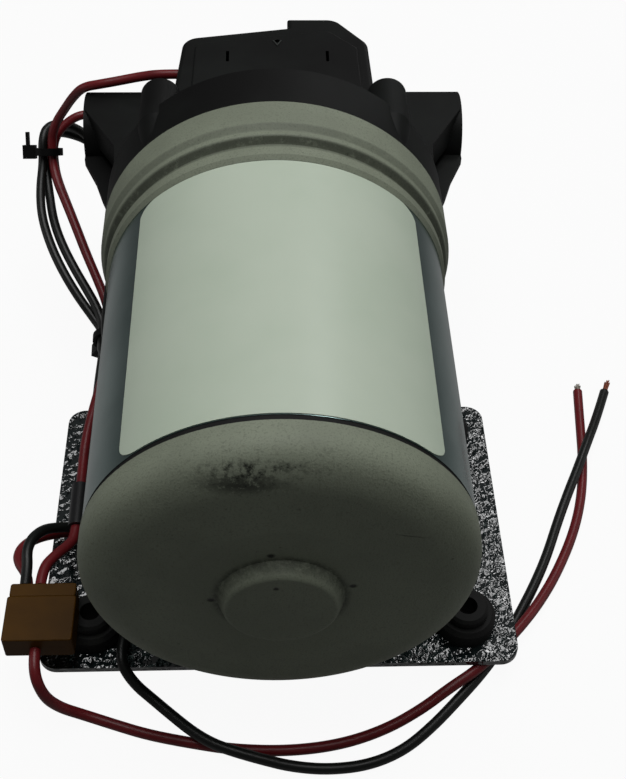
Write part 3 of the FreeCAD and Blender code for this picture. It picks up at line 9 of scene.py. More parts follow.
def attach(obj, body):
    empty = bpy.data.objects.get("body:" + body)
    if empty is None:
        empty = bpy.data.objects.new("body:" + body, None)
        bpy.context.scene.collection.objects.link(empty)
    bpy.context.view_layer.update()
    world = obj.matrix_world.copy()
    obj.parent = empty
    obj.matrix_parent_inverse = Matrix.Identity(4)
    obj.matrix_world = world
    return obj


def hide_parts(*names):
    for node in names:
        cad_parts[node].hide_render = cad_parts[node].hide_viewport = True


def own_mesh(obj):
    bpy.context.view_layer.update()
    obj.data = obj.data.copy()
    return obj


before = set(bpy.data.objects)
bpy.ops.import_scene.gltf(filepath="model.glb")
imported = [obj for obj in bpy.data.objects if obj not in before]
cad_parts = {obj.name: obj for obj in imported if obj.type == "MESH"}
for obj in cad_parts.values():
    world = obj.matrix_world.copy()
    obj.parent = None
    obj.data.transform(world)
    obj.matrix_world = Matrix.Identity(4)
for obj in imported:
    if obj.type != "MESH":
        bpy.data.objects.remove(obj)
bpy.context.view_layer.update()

MM = 0.001


# Shader maths
class Flow:
    """An output socket that can be added, multiplied and so on with numbers and other outputs."""

    def __init__(self, maker, socket):
        self.maker, self.socket = maker, socket

    def maths(self, operation, *values):
        return self.maker.node("Math", {"operation": operation}, *values)

    def __add__(self, other):
        return self.maths("ADD", self, other)

    def __sub__(self, other):
        return self.maths("SUBTRACT", self, other)

    def __rsub__(self, other):
        return self.maths("SUBTRACT", other, self)

    def __mul__(self, other):
        return self.maths("MULTIPLY", self, other)

    def clamped(self):
        return self.maker.node("Clamp", {}, self, 0.0, 1.0)

    def between(self, low, high):
        """0 below low, 1 above high, and smooth in between."""
        settings = {"interpolation_type": "SMOOTHSTEP"}
        return self.maker.node("MapRange", settings, self, low, high, 0.0, 1.0)

    def band(self, start, full, fade, end):
        """0 outside start and end, 1 from full to fade, and smooth in between."""
        return self.between(start, full) * (1 - self.between(fade, end))

    __radd__, __rmul__ = __add__, __mul__


class Nodes:
    """A node tree whose nodes are added by one method."""

    def __init__(self, tree):
        self.tree = tree

    def feed(self, socket, value):
        """Links an output to a socket, or sets the socket's value."""
        if isinstance(value, Flow):
            self.tree.links.new(value.socket, socket)
        elif isinstance(value, tuple) and len(value) == 3 and socket.type == "RGBA":
            socket.default_value = (*value, 1.0)
        else:
            socket.default_value = value

    def node(self, kind, settings, *values, output=0, **named):
        """A node of a type, with its settings, then its sockets' values in order or by name."""
        made = self.tree.nodes.new("ShaderNode" + kind)
        for key, value in settings.items():
            setattr(made, key, value)
        for socket, value in zip(made.inputs, values):
            if value is not None:
                self.feed(socket, value)
        for name, value in named.items():
            self.feed(made.inputs[name.replace("_", " ")], value)
        return Flow(self, made.outputs[output])

    def rays(self):
        """Outputs that are 1 for the camera's rays, for mirrored rays and for rays through glass."""
        path = self.tree.nodes.new("ShaderNodeLightPath")
        return [Flow(self, path.outputs[f"Is {kind} Ray"])
                for kind in ("Camera", "Glossy", "Transmission")]


class Finish(Nodes):
    """A material with one shader."""

    def __init__(self, name, **sockets):
        self.material = bpy.data.materials.new(name)
        self.material.use_nodes = True
        super().__init__(self.material.node_tree)
        self.shader = self.tree.nodes["Principled BSDF"]
        for socket, value in sockets.items():
            self.set(socket.replace("_", " "), value)
        self.place = self.node("TexCoord", {}, output=3)

    def set(self, socket, value):
        self.feed(self.shader.inputs[socket], value)

    def mix(self, first, second, share):
        """Two colours mixed by a share of the second."""
        made = self.tree.nodes.new("ShaderNodeMix")
        made.data_type = "RGBA"
        for index, value in ((0, share), (6, first), (7, second)):
            self.feed(made.inputs[index], value)
        return Flow(self, made.outputs[2])

    def noise(self, scale, detail=3.0, roughness=0.55, where=None):
        return self.node("TexNoise", {}, Vector=where or self.place, Scale=scale, Detail=detail,
                         Roughness=roughness)

    def relief(self, height, depth, strength=1.0):
        """Bump of a height from 0 to 1 that is so many metres deep."""
        self.set("Normal", self.node("Bump", {}, Strength=strength, Distance=depth,
                                     Height=height))

    def blob(self, centre, radii, core=0.3):
        """1 in the core of an ellipsoid about a place, falling smoothly to 0 at its surface."""
        offset = self.node("VectorMath", {"operation": "SUBTRACT"}, self.place, centre)
        scaled = self.node("VectorMath", {"operation": "DIVIDE"}, offset, radii)
        length = self.node("VectorMath", {"operation": "LENGTH"}, scaled, output=1)
        return 1 - length.between(core, 1.0)


# Finishes
PAINT = (0.305, 0.340, 0.256)
PAINT_SHADE = tuple(c * 0.86 for c in PAINT)
PAINT_GRAIN = tuple(c * 0.68 for c in PAINT)
PAINT_SPECK = (0.09, 0.092, 0.070)
# Near-black for grease and for painted shade
GREASE_AND_SHADE = (0.014, 0.016, 0.012)
PIT = (0.010, 0.011, 0.010)
ZINC = (0.17, 0.245, 0.235)
PALE_ZINC = (0.25, 0.34, 0.325)
FILM = (0.655, 0.765, 0.615)
PALE_FILM = (0.70, 0.80, 0.655)
ENAMEL_DIP = (0.005, 0.008, 0.009)
ENAMEL_RISE = (0.013, 0.020, 0.021)
RUBBER = (0.005, 0.005, 0.005)
RUBBER_BLOOM = (0.013, 0.014, 0.012)
NYLON = (0.074, 0.031, 0.002)
PALE_NYLON = (0.096, 0.041, 0.003)


def painted_casting(name, marks):
    """Grey-green paint on a sand casting, with marks that give shares of dirt and painted shade, and of
    pits.
    """
    finish = Finish(name, Specular_IOR_Level=0.3)
    sand = finish.noise(1900.0, 3.0)
    patches = finish.noise(38.0, 4.0)
    specks = finish.noise(900.0, 1.0).between(0.74, 0.79)
    shade_and_dirt, pits = marks(finish)
    colour = finish.mix(PAINT_SHADE, PAINT, patches.between(0.35, 0.65))
    colour = finish.mix(colour, PAINT_GRAIN, sand.between(0.50, 0.68) * 0.7)
    colour = finish.mix(colour, PAINT_SPECK, specks * 0.4)
    # Darkens where the marks give grease and painted shade
    colour = finish.mix(colour, GREASE_AND_SHADE, shade_and_dirt)
    finish.set("Base Color", finish.mix(colour, PIT, pits * 0.9))
    finish.set("Roughness", patches * 0.12 + 0.5)
    finish.relief(sand * 0.32 - pits, 0.0004, 0.8)
    return finish.material


# Marks and painted shade on the end cap, in metres. Bands give where they start, are full, fade and end
AXIS_HEIGHT = 0.066
CAP_FACE = -0.0637
BOSS_FACE = -0.0678
# Ring of painted shade in the corner at the boss's foot
BOSS_CORNER_SHADE = (0.0140, 0.0158, 0.0162, 0.0182)
BOSS_DENT = (-0.0013, BOSS_FACE, 0.0759)
DENT_SIZE = (0.0010, 0.0012, 0.0009)
STAKES = [(-0.0175, 0.0652), (-0.0025, 0.0838), (0.0177, 0.0705), (0.0, 0.0478)]
STAKE_SIZE = (0.0014, 0.0012, 0.0011)
NICKS = [(-0.0269, 0.0437), (0.0243, 0.0975), (-0.0305, 0.0862), (0.0040, 0.1010)]
NICK_SIZE = (0.0009, 0.0012, 0.0008)
SCRATCH = (0.0311, CAP_FACE, 0.0895)
SCRATCH_SIZE = (0.0066, 0.002, 0.0003)
SCRATCH_TURN = math.radians(-16.0)

# The smear's clouds: centre, radii, core, the two levels of its crumbs, and its darkness
SMEAR = [((-0.0110, -0.0634, 0.1092), (0.0190, 0.0050, 0.0042), 0.1, 0.38, 0.50, 1.0),
         ((-0.0130, -0.0612, 0.1128), (0.0300, 0.0044, 0.0036), 0.1, 0.44, 0.56, 0.85),
         ((-0.0050, -0.0600, 0.1130), (0.0330, 0.0080, 0.0070), 0.2, 0.56, 0.66, 0.5)]


def cap_marks_and_shade(finish):
    """A greasy smear on the cap's shoulder, painted shade in the corner round its boss, stakes round
    the boss, nicks and a scratch.
    """
    breakup = finish.noise(480.0, 5.0, 0.75)
    offset = finish.node("VectorMath", {"operation": "SUBTRACT"}, finish.place, (0, 0, AXIS_HEIGHT))
    flat = finish.node("VectorMath", {"operation": "MULTIPLY"}, offset, (1.0, 0.0, 1.0))
    out = finish.node("VectorMath", {"operation": "LENGTH"}, flat, output=1)
    # Painted shade darkens the corner round the boss's foot, broken up by noise
    shade_and_dirt = out.band(*BOSS_CORNER_SHADE) * breakup.between(0.25, 0.60) * 0.55
    for centre, radii, core, low, high, darkness in SMEAR:
        shade_and_dirt = shade_and_dirt + finish.blob(centre, radii, core) * breakup.between(low, high) * darkness
    pits = finish.blob(BOSS_DENT, DENT_SIZE)
    for x, z in STAKES:
        pits = pits + finish.blob((x, CAP_FACE, z), STAKE_SIZE)
    for x, z in NICKS:
        pits = pits + finish.blob((x, CAP_FACE, z), NICK_SIZE) * 0.5
    moved = finish.node("VectorMath", {"operation": "SUBTRACT"}, finish.place, SCRATCH)
    turned = finish.node("VectorRotate", {"rotation_type": "Y_AXIS"}, moved, None, None, SCRATCH_TURN)
    scaled = finish.node("VectorMath", {"operation": "DIVIDE"}, turned, SCRATCH_SIZE)
    length = finish.node("VectorMath", {"operation": "LENGTH"}, scaled, output=1)
    scratch = (1 - length.between(0.3, 1.0)) * 0.8
    return shade_and_dirt.clamped(), (pits + scratch).clamped()


# Bands of painted shade on the adapter, along the motor's axis: up to its ridge, and behind it
GROOVE_SHADE = (0.0510, 0.0536, 0.0540, 0.0550)
STEP_SHADE = (0.0560, 0.0570, 0.0582, 0.0592)


def adapter_shade_and_pits(finish):
    """Painted shade on the slope from groove to ridge, less of it on the slope behind, and small pits.
    """
    along = finish.node("SeparateXYZ", {}, finish.place, output=1)
    breakup = finish.noise(420.0, 4.0, 0.7)
    # Painted shade in the groove under the ridge and on the step behind it, broken up by noise
    shade_and_dirt = along.band(*GROOVE_SHADE) * 0.62 + along.band(*STEP_SHADE) * 0.22
    pits = finish.noise(650.0, 1.0).between(0.74, 0.80) * 0.3
    return shade_and_dirt * breakup.between(0.15, 0.50), pits


def zinc_can():
    """Zinc plating with fine turned streaks round the can."""
    finish = Finish("zinc_can", Metallic=0.9)
    stretched = finish.node("Mapping", {}, finish.place, None, None, (40.0, 900.0, 40.0))
    streaks = finish.noise(6.0, 4.0, 0.6, stretched)
    cloud = finish.noise(35.0, 3.0)
    finish.set("Base Color", finish.mix(ZINC, PALE_ZINC, cloud.between(0.3, 0.7)))
    finish.set("Roughness", streaks * 0.10 + 0.17)
    finish.relief(streaks, 0.00001, 0.3)
    return finish.material


def label_film():
    """Pale film, aged a little unevenly."""
    finish = Finish("label_film", Specular_IOR_Level=0.45, Coat_Weight=0.1, Coat_Roughness=0.25)
    age = finish.noise(30.0, 3.0)
    finish.set("Base Color", finish.mix(FILM, PALE_FILM, age.between(0.3, 0.7)))
    finish.set("Roughness", age * 0.1 + 0.4)
    finish.relief(finish.noise(160.0, 2.0), 0.00002, 0.25)
    return finish.material


def hammered_black():
    """Hammer-finish enamel: shallow cells whose sloping sides catch the light in short curls."""
    finish = Finish("hammered_black", Specular_IOR_Level=1.0, IOR=1.6)
    warp = finish.noise(420.0, 2.0)
    moved = finish.node("VectorMath", {"operation": "MULTIPLY_ADD"}, warp, (0.0035, 0.0035, 0.0035),
                        finish.place)
    cells = finish.node("TexVoronoi", {"feature": "SMOOTH_F1"}, Vector=moved, Scale=360.0,
                        Smoothness=0.3)
    ripple = finish.noise(800.0, 1.0, 0.4)
    finish.set("Base Color", finish.mix(ENAMEL_DIP, ENAMEL_RISE, cells.between(0.1, 0.6)))
    finish.set("Roughness", ripple * 0.06 + 0.05)
    finish.relief(cells + ripple * 0.22, 0.0007, 1.0)
    return finish.material


def dark_rubber():
    """Black rubber with a pale bloom."""
    finish = Finish("dark_rubber", Specular_IOR_Level=0.3)
    bloom = finish.noise(90.0, 4.0)
    finish.set("Base Color", finish.mix(RUBBER, RUBBER_BLOOM, bloom.between(0.4, 0.75)))
    finish.set("Roughness", bloom * 0.2 + 0.6)
    finish.relief(finish.noise(1300.0, 2.0), 0.00004, 0.4)
    return finish.material


def moulded_black(name="moulded_black", tone=0.0055, gloss=0.46):
    """Dark plastic of a tone, with faint flow marks and a moulded grain."""
    finish = Finish(name, Specular_IOR_Level=0.18)
    flow = finish.noise(28.0, 4.0)
    grain = finish.noise(1700.0, 2.0)
    low, high = (tone * 0.7,) * 3, (tone * 1.5, tone * 1.75, tone * 1.6)
    finish.set("Base Color", finish.mix(low, high, flow.between(0.35, 0.7)))
    finish.set("Roughness", flow * 0.15 + gloss)
    finish.relief(grain, 0.00005, 0.35)
    return finish.material


def insulation(name, colour):
    """Soft plastic of a wire, dulled by dust in places."""
    finish = Finish(name, Specular_IOR_Level=0.45)
    dust = finish.noise(120.0, 4.0)
    dull = tuple(c * 0.75 for c in colour)
    finish.set("Base Color", finish.mix(colour, dull, dust.between(0.45, 0.7)))
    finish.set("Roughness", dust * 0.15 + 0.3)
    finish.relief(finish.noise(400.0, 2.0), 0.00003, 0.3)
    return finish.material


def tan_nylon():
    """Brown moulded nylon."""
    finish = Finish("tan_nylon", Specular_IOR_Level=0.12)
    cloud = finish.noise(80.0, 3.0)
    finish.set("Base Color", finish.mix(NYLON, PALE_NYLON, cloud.between(0.3, 0.7)))
    finish.set("Roughness", cloud * 0.1 + 0.42)
    finish.relief(finish.noise(900.0, 2.0), 0.00003, 0.3)
    return finish.material


def metal(name, colour, roughness):
    """Bare metal with fine scratches."""
    finish = Finish(name, Metallic=1.0)
    scratch = finish.noise(700.0, 3.0, 0.6)
    finish.set("Base Color", finish.mix(colour, tuple(c * 0.8 for c in colour),
                                        scratch.between(0.4, 0.7)))
    finish.set("Roughness", scratch * 0.2 + roughness)
    finish.relief(scratch, 0.00002, 0.25)
    return finish.material


def matte_solid(name, colour, roughness):
    """Pressed or sintered powder."""
    finish = Finish(name, Specular_IOR_Level=0.3)
    mottle = finish.noise(300.0, 4.0)
    finish.set("Base Color", finish.mix(colour, tuple(c * 0.7 for c in colour),
                                        mottle.between(0.4, 0.7)))
    finish.set("Roughness", mottle * 0.15 + roughness)
    finish.relief(mottle, 0.00003, 0.3)
    return finish.material


def paint(material, *names):
    """One finish for the named nodes."""
    for name in names:
        piece = bpy.data.objects[name]
        piece.data.materials.clear()
        piece.data.materials.append(material)


def dress_nodes():
    """Gives every node of the frame the finish of its real piece."""
    steel = metal("bright_steel", (0.62, 0.62, 0.63), 0.25)
    copper = metal("copper_wire", (0.75, 0.36, 0.22), 0.25)
    moulding = moulded_black()
    rubber = dark_rubber()
    hammered = hammered_black()
    paint(painted_casting("painted_cap", cap_marks_and_shade), "rear_end_cap")
    paint(painted_casting("painted_adapter", adapter_shade_and_pits), "front_adapter")
    paint(zinc_can(), "motor_can")
    paint(label_film(), "blank_label")
    paint(hammered, "base_plate", "motor_saddle")
    paint(rubber, "seam_gasket", "rubber_feet", "diaphragm", "gallery_seal", "switch_diaphragm",
          "inlet_valves", "outlet_valve", "lead_bushings")
    paint(moulding, "lower_housing", "upper_housing", "switch_cover", "valve_plate",
          "upper_cable_tie", "lower_cable_tie")
    paint(moulded_black("switch_moulding", 0.022, 0.45), "brush_card", "switch_plunger",
          "microswitch", "microswitch_button")
    paint(moulded_black("rocker_moulding", 0.12, 0.5), "wobble_plate", "pistons")
    paint(metal("blackened_screws", (0.06, 0.06, 0.062), 0.35), "head_screws")
    paint(steel, "saddle_screws", "tie_bolts", "piston_screws", "motor_shaft",
          "left_brush_spring", "right_brush_spring", "switch_spring", "adjusting_screw",
          "front_bearing_inner", "front_bearing_outer", "rear_bearing_inner",
          "rear_bearing_outer", "cam_bearing_inner", "cam_bearing_outer")
    paint(metal("cast_zinc", (0.5, 0.5, 0.51), 0.45), "cam_hub")
    paint(metal("lamination_steel", (0.28, 0.28, 0.3), 0.4), "armature_core")
    paint(copper, "armature_winding", "commutator")
    paint(matte_solid("ferrite", (0.06, 0.06, 0.065), 0.7), "field_magnets")
    paint(matte_solid("carbon", (0.035, 0.035, 0.037), 0.5), "left_brush", "right_brush")
    paint(tan_nylon(), "connector_plug", "connector_socket")
    paint(insulation("sleeve_film", (0.014, 0.014, 0.015)), "wire_sleeve")


# Leads: the same points as the source of the solids, in millimetres here and scaled to metres
WIRE_RADIUS = 1.6
FLOOR = WIRE_RADIUS + 0.02
OVER = FLOOR + 3.4
UNDER_PLATE = FLOOR + 3.25
RED_LEAD = [(-68.7, -50.5, 20.8), (-68.7, -56.8, 20.8), (-66.4, -61.0, 14.0),
            (-62.6, -61.1, 7.4), (-56.5, -61.2, 3.2), (-47.3, -63.8, FLOOR),
            (-37.7, -67.1, FLOOR), (-25.8, -69.8, FLOOR), (-13.0, -72.2, FLOOR),
            (2.4, -72.9, FLOOR), (17.0, -71.2, FLOOR), (30.0, -66.8, FLOOR),
            (41.0, -60.9, 2.6), (49.0, -55.8, UNDER_PLATE), (57.5, -50.2, UNDER_PLATE),
            (66.0, -42.4, UNDER_PLATE), (73.0, -35.1, UNDER_PLATE), (80.0, -26.0, 3.2),
            (87.3, -14.6, FLOOR), (95.0, 0.1, FLOOR), (100.2, 14.5, FLOOR),
            (103.5, 30.5, FLOOR), (105.4, 47.5, FLOOR), (107.1, 62.3, FLOOR)]
BLACK_LEAD = [(-39.6, 48.7, 37.2), (-49.3, 48.7, 30.1), (-50.6, 60.0, 31.5),
              (-50.3, 77.0, 33.0), (-50.5, 96.0, 34.0), (-52.0, 114.0, 35.5),
              (-55.0, 130.0, 37.0), (-60.5, 144.5, 40.0), (-68.0, 151.5, 44.5),
              (-75.0, 151.0, 48.5), (-80.5, 146.5, 52.6), (-82.85, 140.1, 53.5),
              (-82.8, 135.5, 46.9), (-81.0, 126.0, 42.0), (-78.6, 113.3, 39.0),
              (-74.8, 103.3, 36.0), (-69.9, 94.6, 32.0), (-65.2, 87.1, 28.9),
              (-61.5, 80.6, 26.7), (-59.1, 74.0, 24.6), (-59.2, 66.0, 23.8),
              (-58.2, 59.2, 27.4), (-53.4, 51.5, 28.0), (-48.8, 42.5, 23.5),
              (-45.6, 31.0, 15.5), (-44.8, 18.0, 10.8), (-44.9, 2.0, 10.4),
              (-44.7, -13.0, 10.4), (-44.2, -26.0, 10.6), (-44.1, -36.5, 11.6),
              (-45.6, -44.0, 13.0), (-45.6, -50.3, 12.4), (-41.9, -54.4, 8.0),
              (-36.5, -58.2, 5.6), (-30.6, -63.3, OVER), (-24.8, -68.3, OVER),
              (-19.1, -72.0, OVER), (-13.0, -74.4, OVER), (-5.5, -76.2, 3.7),
              (3.0, -77.8, 2.0), (13.4, -78.7, FLOOR), (24.7, -77.5, FLOOR),
              (34.8, -73.2, FLOOR), (43.5, -66.0, FLOOR), (51.5, -57.9, FLOOR),
              (59.9, -49.0, FLOOR), (67.4, -39.2, FLOOR), (73.8, -28.8, FLOOR),
              (79.6, -18.9, FLOOR), (85.2, -8.0, FLOOR), (90.6, 4.8, 2.4),
              (95.5, 15.3, 4.1), (100.3, 25.0, OVER), (105.2, 35.8, OVER),
              (111.0, 48.2, 3.5), (116.5, 61.7, 1.9)]
SWITCH_LEAD = [(-29.5, 130.2, 88.1), (-38.3, 130.5, 88.0), (-45.0, 132.0, 86.0),
               (-52.2, 131.8, 84.5), (-59.0, 131.2, 83.5), (-65.1, 132.6, 81.4),
               (-69.8, 135.6, 74.8), (-73.3, 138.9, 68.2), (-76.4, 139.4, 63.4),
               (-78.4, 138.4, 59.6), (-79.45, 137.3, 55.5), (-79.45, 132.7, 49.0),
               (-77.7, 126.6, 45.5), (-73.8, 118.0, 42.0), (-69.9, 109.0, 38.0),
               (-66.4, 100.9, 34.0), (-62.7, 93.2, 30.3), (-59.0, 84.6, 27.2),
               (-55.9, 74.0, 24.7), (-55.7, 66.0, 23.5), (-57.4, 52.0, 23.6),
               (-59.4, 38.0, 23.6), (-61.2, 25.0, 21.9), (-61.4, 13.8, 20.4),
               (-61.1, -11.6, 20.4), (-63.0, -15.4, 21.2), (-66.2, -20.0, 22.8),
               (-69.0, -25.2, 23.8), (-69.0, -31.2, 23.8)]
SWITCH_RETURN = [(11.5, 138.4, 88.1), (11.5, 155.0, 88.1), (8.0, 158.4, 81.8),
                 (-4.0, 158.2, 73.2), (-16.0, 158.2, 64.8), (-29.0, 156.6, 58.8),
                 (-42.0, 153.0, 55.8), (-55.5, 149.6, 57.0), (-68.3, 147.4, 60.4),
                 (-75.4, 145.0, 57.4),
                 (-79.45, 140.1, 53.5), (-79.45, 135.5, 47.0), (-78.3, 131.0, 42.8),
                 (-74.6, 122.6, 38.6), (-70.7, 113.5, 34.6), (-67.2, 105.2, 30.8),
                 (-63.5, 97.2, 26.8), (-59.6, 88.3, 23.2), (-55.9, 74.0, 21.2),
                 (-55.7, 66.0, 20.1), (-55.2, 53.0, 19.7), (-54.9, 40.0, 19.7),
                 (-55.0, 28.0, 19.3), (-55.1, 18.5, 15.0), (-55.5, 9.0, 11.2), (-57.4, 2.4, 10.5),
                 (-62.2, -2.4, 10.9), (-68.0, -4.8, 13.2), (-73.4, -8.2, 15.8),
                 (-77.2, -13.0, 18.0), (-78.0, -19.0, 19.4), (-73.4, -25.4, 20.0),
                 (-73.4, -31.2, 20.0)]
MOTOR_LEAD = [(-43.3, 48.7, 43.0), (-53.9, 48.7, 37.4), (-56.3, 60.0, 37.8),
              (-56.0, 77.0, 38.3), (-56.0, 96.0, 39.2), (-57.3, 114.0, 40.6),
              (-59.0, 129.0, 42.6), (-63.0, 142.5, 46.2), (-69.8, 149.6, 50.6),
              (-76.9, 148.6, 55.0), (-81.6, 143.0, 57.6), (-82.85, 137.3, 55.5),
              (-82.85, 132.7, 49.0), (-83.6, 124.0, 44.4), (-82.6, 114.0, 40.3),
              (-79.0, 103.4, 36.4), (-74.5, 94.7, 32.0), (-69.0, 86.6, 27.4),
              (-63.6, 80.2, 23.4), (-59.1, 74.0, 21.2), (-59.0, 66.0, 20.1),
              (-59.4, 52.0, 19.8), (-59.3, 38.0, 19.8), (-59.0, 26.0, 19.2),
              (-58.7, 12.0, 15.8), (-59.0, 0.5, 15.2), (-62.6, -4.6, 16.0),
              (-67.2, -6.6, 18.6), (-70.6, -9.6, 21.8), (-73.2, -14.2, 24.1),
              (-74.2, -19.4, 24.8), (-73.4, -25.0, 23.8), (-73.4, -31.2, 23.8)]
ROUTES = {"red_lead": RED_LEAD, "black_lead": BLACK_LEAD, "switch_lead": SWITCH_LEAD,
          "switch_return": SWITCH_RETURN, "motor_lead": MOTOR_LEAD}

# Bare strands, in metres. Each end gives how far they reach and how much they spread
STRANDS = 19
STRAND_RADIUS = 0.00017
STRAND_ROOT = 0.001
CORE_RADIUS = 0.00078
GOLDEN_ANGLE = 2.4
RED_STRANDS = (0.0030, 1.5)
BLACK_STRANDS = (0.0062, 1.25)


def lay_lead(name, finish):
    """A lead as a smooth curve that its route's points guide."""
    diameter = 2 * WIRE_RADIUS * MM
    curve = bpy.data.curves.new(name + "_line", "CURVE")
    curve.dimensions = "3D"
    line = curve.splines.new("NURBS")
    points = [Vector(p) * MM for p in ROUTES[name]]
    line.points.add(len(points) - 1)
    for control, point in zip(line.points, points):
        control.co = (*point, 1.0)
    line.order_u = 3
    line.use_endpoint_u = True
    line.resolution_u = 8
    curve.bevel_depth = diameter / 2
    curve.bevel_resolution = 5
    curve.use_fill_caps = True
    piece = bpy.data.objects.new(name + "_lay", curve)
    bpy.context.collection.objects.link(piece)
    curve.materials.append(finish)
    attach(piece, "pump_housing")
    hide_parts(name)
    return piece


def fray(lead, name, finish, length, flare):
    """Bare strands that stand out of a lead's cut end and spread a little."""
    before, tip = (Vector(point) * MM for point in ROUTES[lead][-2:])
    along = (tip - before).normalized()
    side = along.orthogonal().normalized()
    rise = along.cross(side)
    curve = bpy.data.curves.new(name, "CURVE")
    curve.dimensions = "3D"
    curve.bevel_depth = STRAND_RADIUS
    curve.bevel_resolution = 2
    curve.use_fill_caps = True
    for index in range(STRANDS):
        turn = index * GOLDEN_ANGLE
        out = (side * math.cos(turn) + rise * math.sin(turn)) * CORE_RADIUS
        out *= math.sqrt((index + 0.5) / STRANDS)
        reach = length * (0.78 + 0.22 * math.sin(index * 2.3) ** 2)
        line = curve.splines.new("NURBS")
        line.points.add(3)
        steps = ((-STRAND_ROOT, 1.0), (length * 0.25, 1.0), (length * 0.6, (1 + flare) / 2),
                 (reach, flare))
        for control, (ahead, spread) in zip(line.points, steps):
            control.co = (*(tip + along * ahead + out * spread), 1.0)
        line.order_u = 3
        line.use_endpoint_u = True
    piece = bpy.data.objects.new(name, curve)
    bpy.context.collection.objects.link(piece)
    curve.materials.append(finish)
    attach(piece, "pump_housing")
    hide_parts("lead_tips")
    return piece


def lay_leads():
    """The five leads, each with the pieces that hang on it."""
    red = insulation("red_insulation", (0.20, 0.014, 0.018))
    black = insulation("black_insulation", (0.008, 0.009, 0.008))
    switch = lay_lead("switch_lead", red)
    switch_return = lay_lead("switch_return", red)
    motor = lay_lead("motor_lead", black)
    tinned = fray("red_lead", "red_strands", metal("tinned_strands", (0.45, 0.42, 0.36), 0.4),
                  *RED_STRANDS)
    copper = fray("black_lead", "black_strands", metal("copper_strands", (0.50, 0.17, 0.11), 0.4),
                  *BLACK_STRANDS)
    supply = lay_lead("red_lead", red)
    ground = lay_lead("black_lead", black)


# Moulded arrow under the adjusting hole of the switch cover
ARROW_TIP = Vector((0.0014, 0.1316, 0.098))
ARROW_ARM = (0.0016, 0.0032)
ARROW_WIDTH = 0.0005
ARROW_HEIGHT = 0.0003


def mould_arrow():
    """A flat arrow head, one arm of it mirrored."""
    shape = bmesh.new()
    across, along = ARROW_ARM
    corners = [(0, 0), (across, along), (across - ARROW_WIDTH, along), (0, ARROW_WIDTH * 2)]
    face = shape.faces.new([shape.verts.new((x, y, 0)) for x, y in corners])
    bmesh.ops.mirror(shape, geom=[face, *face.edges, *face.verts], merge_dist=1e-6, axis="X")
    grown = bmesh.ops.extrude_face_region(shape, geom=list(shape.faces))
    raised = [part for part in grown["geom"] if isinstance(part, bmesh.types.BMVert)]
    bmesh.ops.translate(shape, verts=raised, vec=(0, 0, ARROW_HEIGHT))
    bmesh.ops.translate(shape, verts=list(shape.verts), vec=ARROW_TIP)
    bmesh.ops.recalc_face_normals(shape, faces=list(shape.faces))
    mesh = bpy.data.meshes.new("switch_cover_arrow")
    shape.to_mesh(mesh)
    shape.free()
    arrow = bpy.data.objects.new("switch_cover_arrow", mesh)
    bpy.context.collection.objects.link(arrow)
    # The arrow is a paler black than the cover
    mesh.materials.append(moulded_black("pale_arrow", 0.045, 0.5))
    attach(arrow, "pump_housing")


# Springs: the joint that shortens each, the side of its seat, and how far, in metres
SPRINGS = {"left_brush_spring": ("left_brush_slide", (-1, 0, 0), 0.004),
           "right_brush_spring": ("right_brush_slide", (1, 0, 0), 0.004),
           "switch_spring": ("switch_plunger_lift", (0, 0, 1), 0.0008)}


def coil_springs():
    """Copies of the springs with doubled points merged, fixed to the pump housing in place of their
    nodes.
    """
    for name, (joint, seat_side, travel) in SPRINGS.items():
        node = bpy.data.objects[name]
        shape = bmesh.new()
        shape.from_mesh(node.data)
        bmesh.ops.remove_doubles(shape, verts=shape.verts, dist=1e-7)
        mesh = bpy.data.meshes.new(name + "_coil")
        shape.to_mesh(mesh)
        shape.free()
        mesh.materials.append(node.data.materials[0])
        coil = bpy.data.objects.new(name + "_coil", mesh)
        bpy.context.collection.objects.link(coil)
        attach(coil, "pump_housing")
        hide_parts(name)
        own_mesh(coil)


# Studio. A share of 1 is white; mirrored rays see less, because the photo's metal shows a dark surround
FLOOR_SIZE = 6.0
FLOOR_DROP = 0.0001
FLOOR_SHADOW = (0.20, 0.20, 0.20)
FLOOR_COLOUR = (0.85, 0.85, 0.85)
FLOOR_WHITE = 0.94
FLOOR_MIRRORED = 0.14
NEAR_CENTRE = (0.0, 0.05, 0.0)
NEAR_SIZE = (0.34, 0.34, 0.34)
WORLD_LIGHT = 0.05
WORLD_MIRRORED = 0.03
WHITE = (1.0, 1.0, 1.0)

# Lamps: place, the point that it faces, size in metres and power in watts
LAMPS = {"overhead": ((0.0, 0.14, 0.95), (0.0, 0.03, 0.08), 0.62, 3.85),
         "back_window": ((0.40, 0.74, 0.92), (0.06, -0.02, 0.02), 0.25, 1.25),
         "rear_fill": ((0.35, 0.95, 0.06), (0.0, 0.12, 0.06), 0.3, 0.35),
         "left_fill": ((-0.9, 0.1, 0.3), (0.0, 0.0, 0.06), 0.6, 0.5),
         "right_fill": ((0.9, 0.1, 0.3), (0.0, 0.0, 0.06), 0.6, 0.5)}


def lay_floor():
    """Floor that looks white to the camera, keeps a faint shadow and is mirrored near the pump."""
    bpy.ops.mesh.primitive_plane_add(size=FLOOR_SIZE)
    floor = bpy.context.object
    floor.name = "floor"
    floor.location.z = -FLOOR_DROP
    pale = Finish("pale_floor", Roughness=0.9)
    seen, mirrored, through = pale.rays()
    nearby = pale.blob(NEAR_CENTRE, NEAR_SIZE)
    white = (seen + through) * FLOOR_WHITE + mirrored * nearby * FLOOR_MIRRORED
    pale.set("Base Color", pale.mix(FLOOR_SHADOW, FLOOR_COLOUR, seen))
    glow = pale.node("Emission", {}, WHITE)
    blend = pale.node("MixShader", {}, white, Flow(pale, pale.shader.outputs[0]), glow)
    pale.feed(pale.tree.nodes["Material Output"].inputs["Surface"], blend)
    floor.data.materials.append(pale.material)


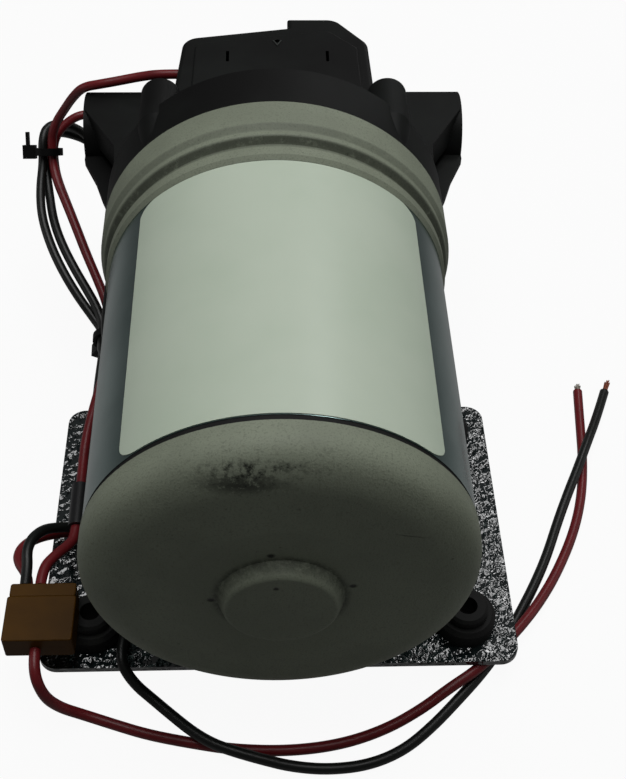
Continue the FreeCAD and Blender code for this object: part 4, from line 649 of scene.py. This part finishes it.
def set_world():
    """White backdrop, and a little light from all sides."""
    world = bpy.data.worlds.new("studio")
    world.use_nodes = True
    sky = Nodes(world.node_tree)
    seen, mirrored, through = sky.rays()
    light = sky.node("Background", {}, WHITE, WORLD_LIGHT)
    backdrop = sky.node("Background", {}, WHITE, 1.0)
    blend = sky.node("MixShader", {}, seen + through + mirrored * WORLD_MIRRORED, light, backdrop)
    sky.feed(sky.tree.nodes["World Output"].inputs["Surface"], blend)
    bpy.context.scene.world = world


def hang_lamps():
    """Soft square lamps above, behind and at both sides."""
    for name, (place, target, size, power) in LAMPS.items():
        light = bpy.data.lights.new(name, "AREA")
        light.shape = "SQUARE"
        light.size = size
        light.energy = power
        lamp = bpy.data.objects.new(name, light)
        lamp.location = place
        aim = Vector(target) - Vector(place)
        lamp.rotation_euler = aim.to_track_quat("-Z", "Y").to_euler()
        bpy.context.collection.objects.link(lamp)


# Camera, solved from the rings of the motor and the edges of the base plate
CAMERA_PLACE = (-2.68, -239.5, 336.3)
CAMERA_AZIMUTH = math.radians(-2.97)
CAMERA_ELEVATION = math.radians(47.71)
CAMERA_ROLL = math.radians(1.64)
CAMERA_SENSOR = 36.0
CAMERA_LENS = 59.06
CAMERA_NEAREST = 0.01


def set_camera():
    """Camera that looks down on the end cap, rolled a little."""
    back = Vector((math.sin(CAMERA_AZIMUTH) * math.cos(CAMERA_ELEVATION),
                   -math.cos(CAMERA_AZIMUTH) * math.cos(CAMERA_ELEVATION),
                   math.sin(CAMERA_ELEVATION)))
    level = Vector((math.cos(CAMERA_AZIMUTH), math.sin(CAMERA_AZIMUTH), 0.0))
    rise = back.cross(level)
    right = level * math.cos(CAMERA_ROLL) + rise * math.sin(CAMERA_ROLL)
    up = rise * math.cos(CAMERA_ROLL) - level * math.sin(CAMERA_ROLL)
    pose = Matrix((right, up, back)).transposed().to_4x4()
    pose.translation = Vector(CAMERA_PLACE) * MM
    camera = bpy.data.objects.new("camera", bpy.data.cameras.new("camera"))
    camera.matrix_world = pose
    camera.data.sensor_width = CAMERA_SENSOR
    camera.data.lens = CAMERA_LENS
    camera.data.clip_start = CAMERA_NEAREST
    bpy.context.collection.objects.link(camera)
    bpy.context.scene.camera = camera


dress_nodes()
lay_leads()
mould_arrow()
coil_springs()
lay_floor()
set_world()
hang_lamps()
set_camera()
bpy.context.scene.view_settings.view_transform = "Standard"
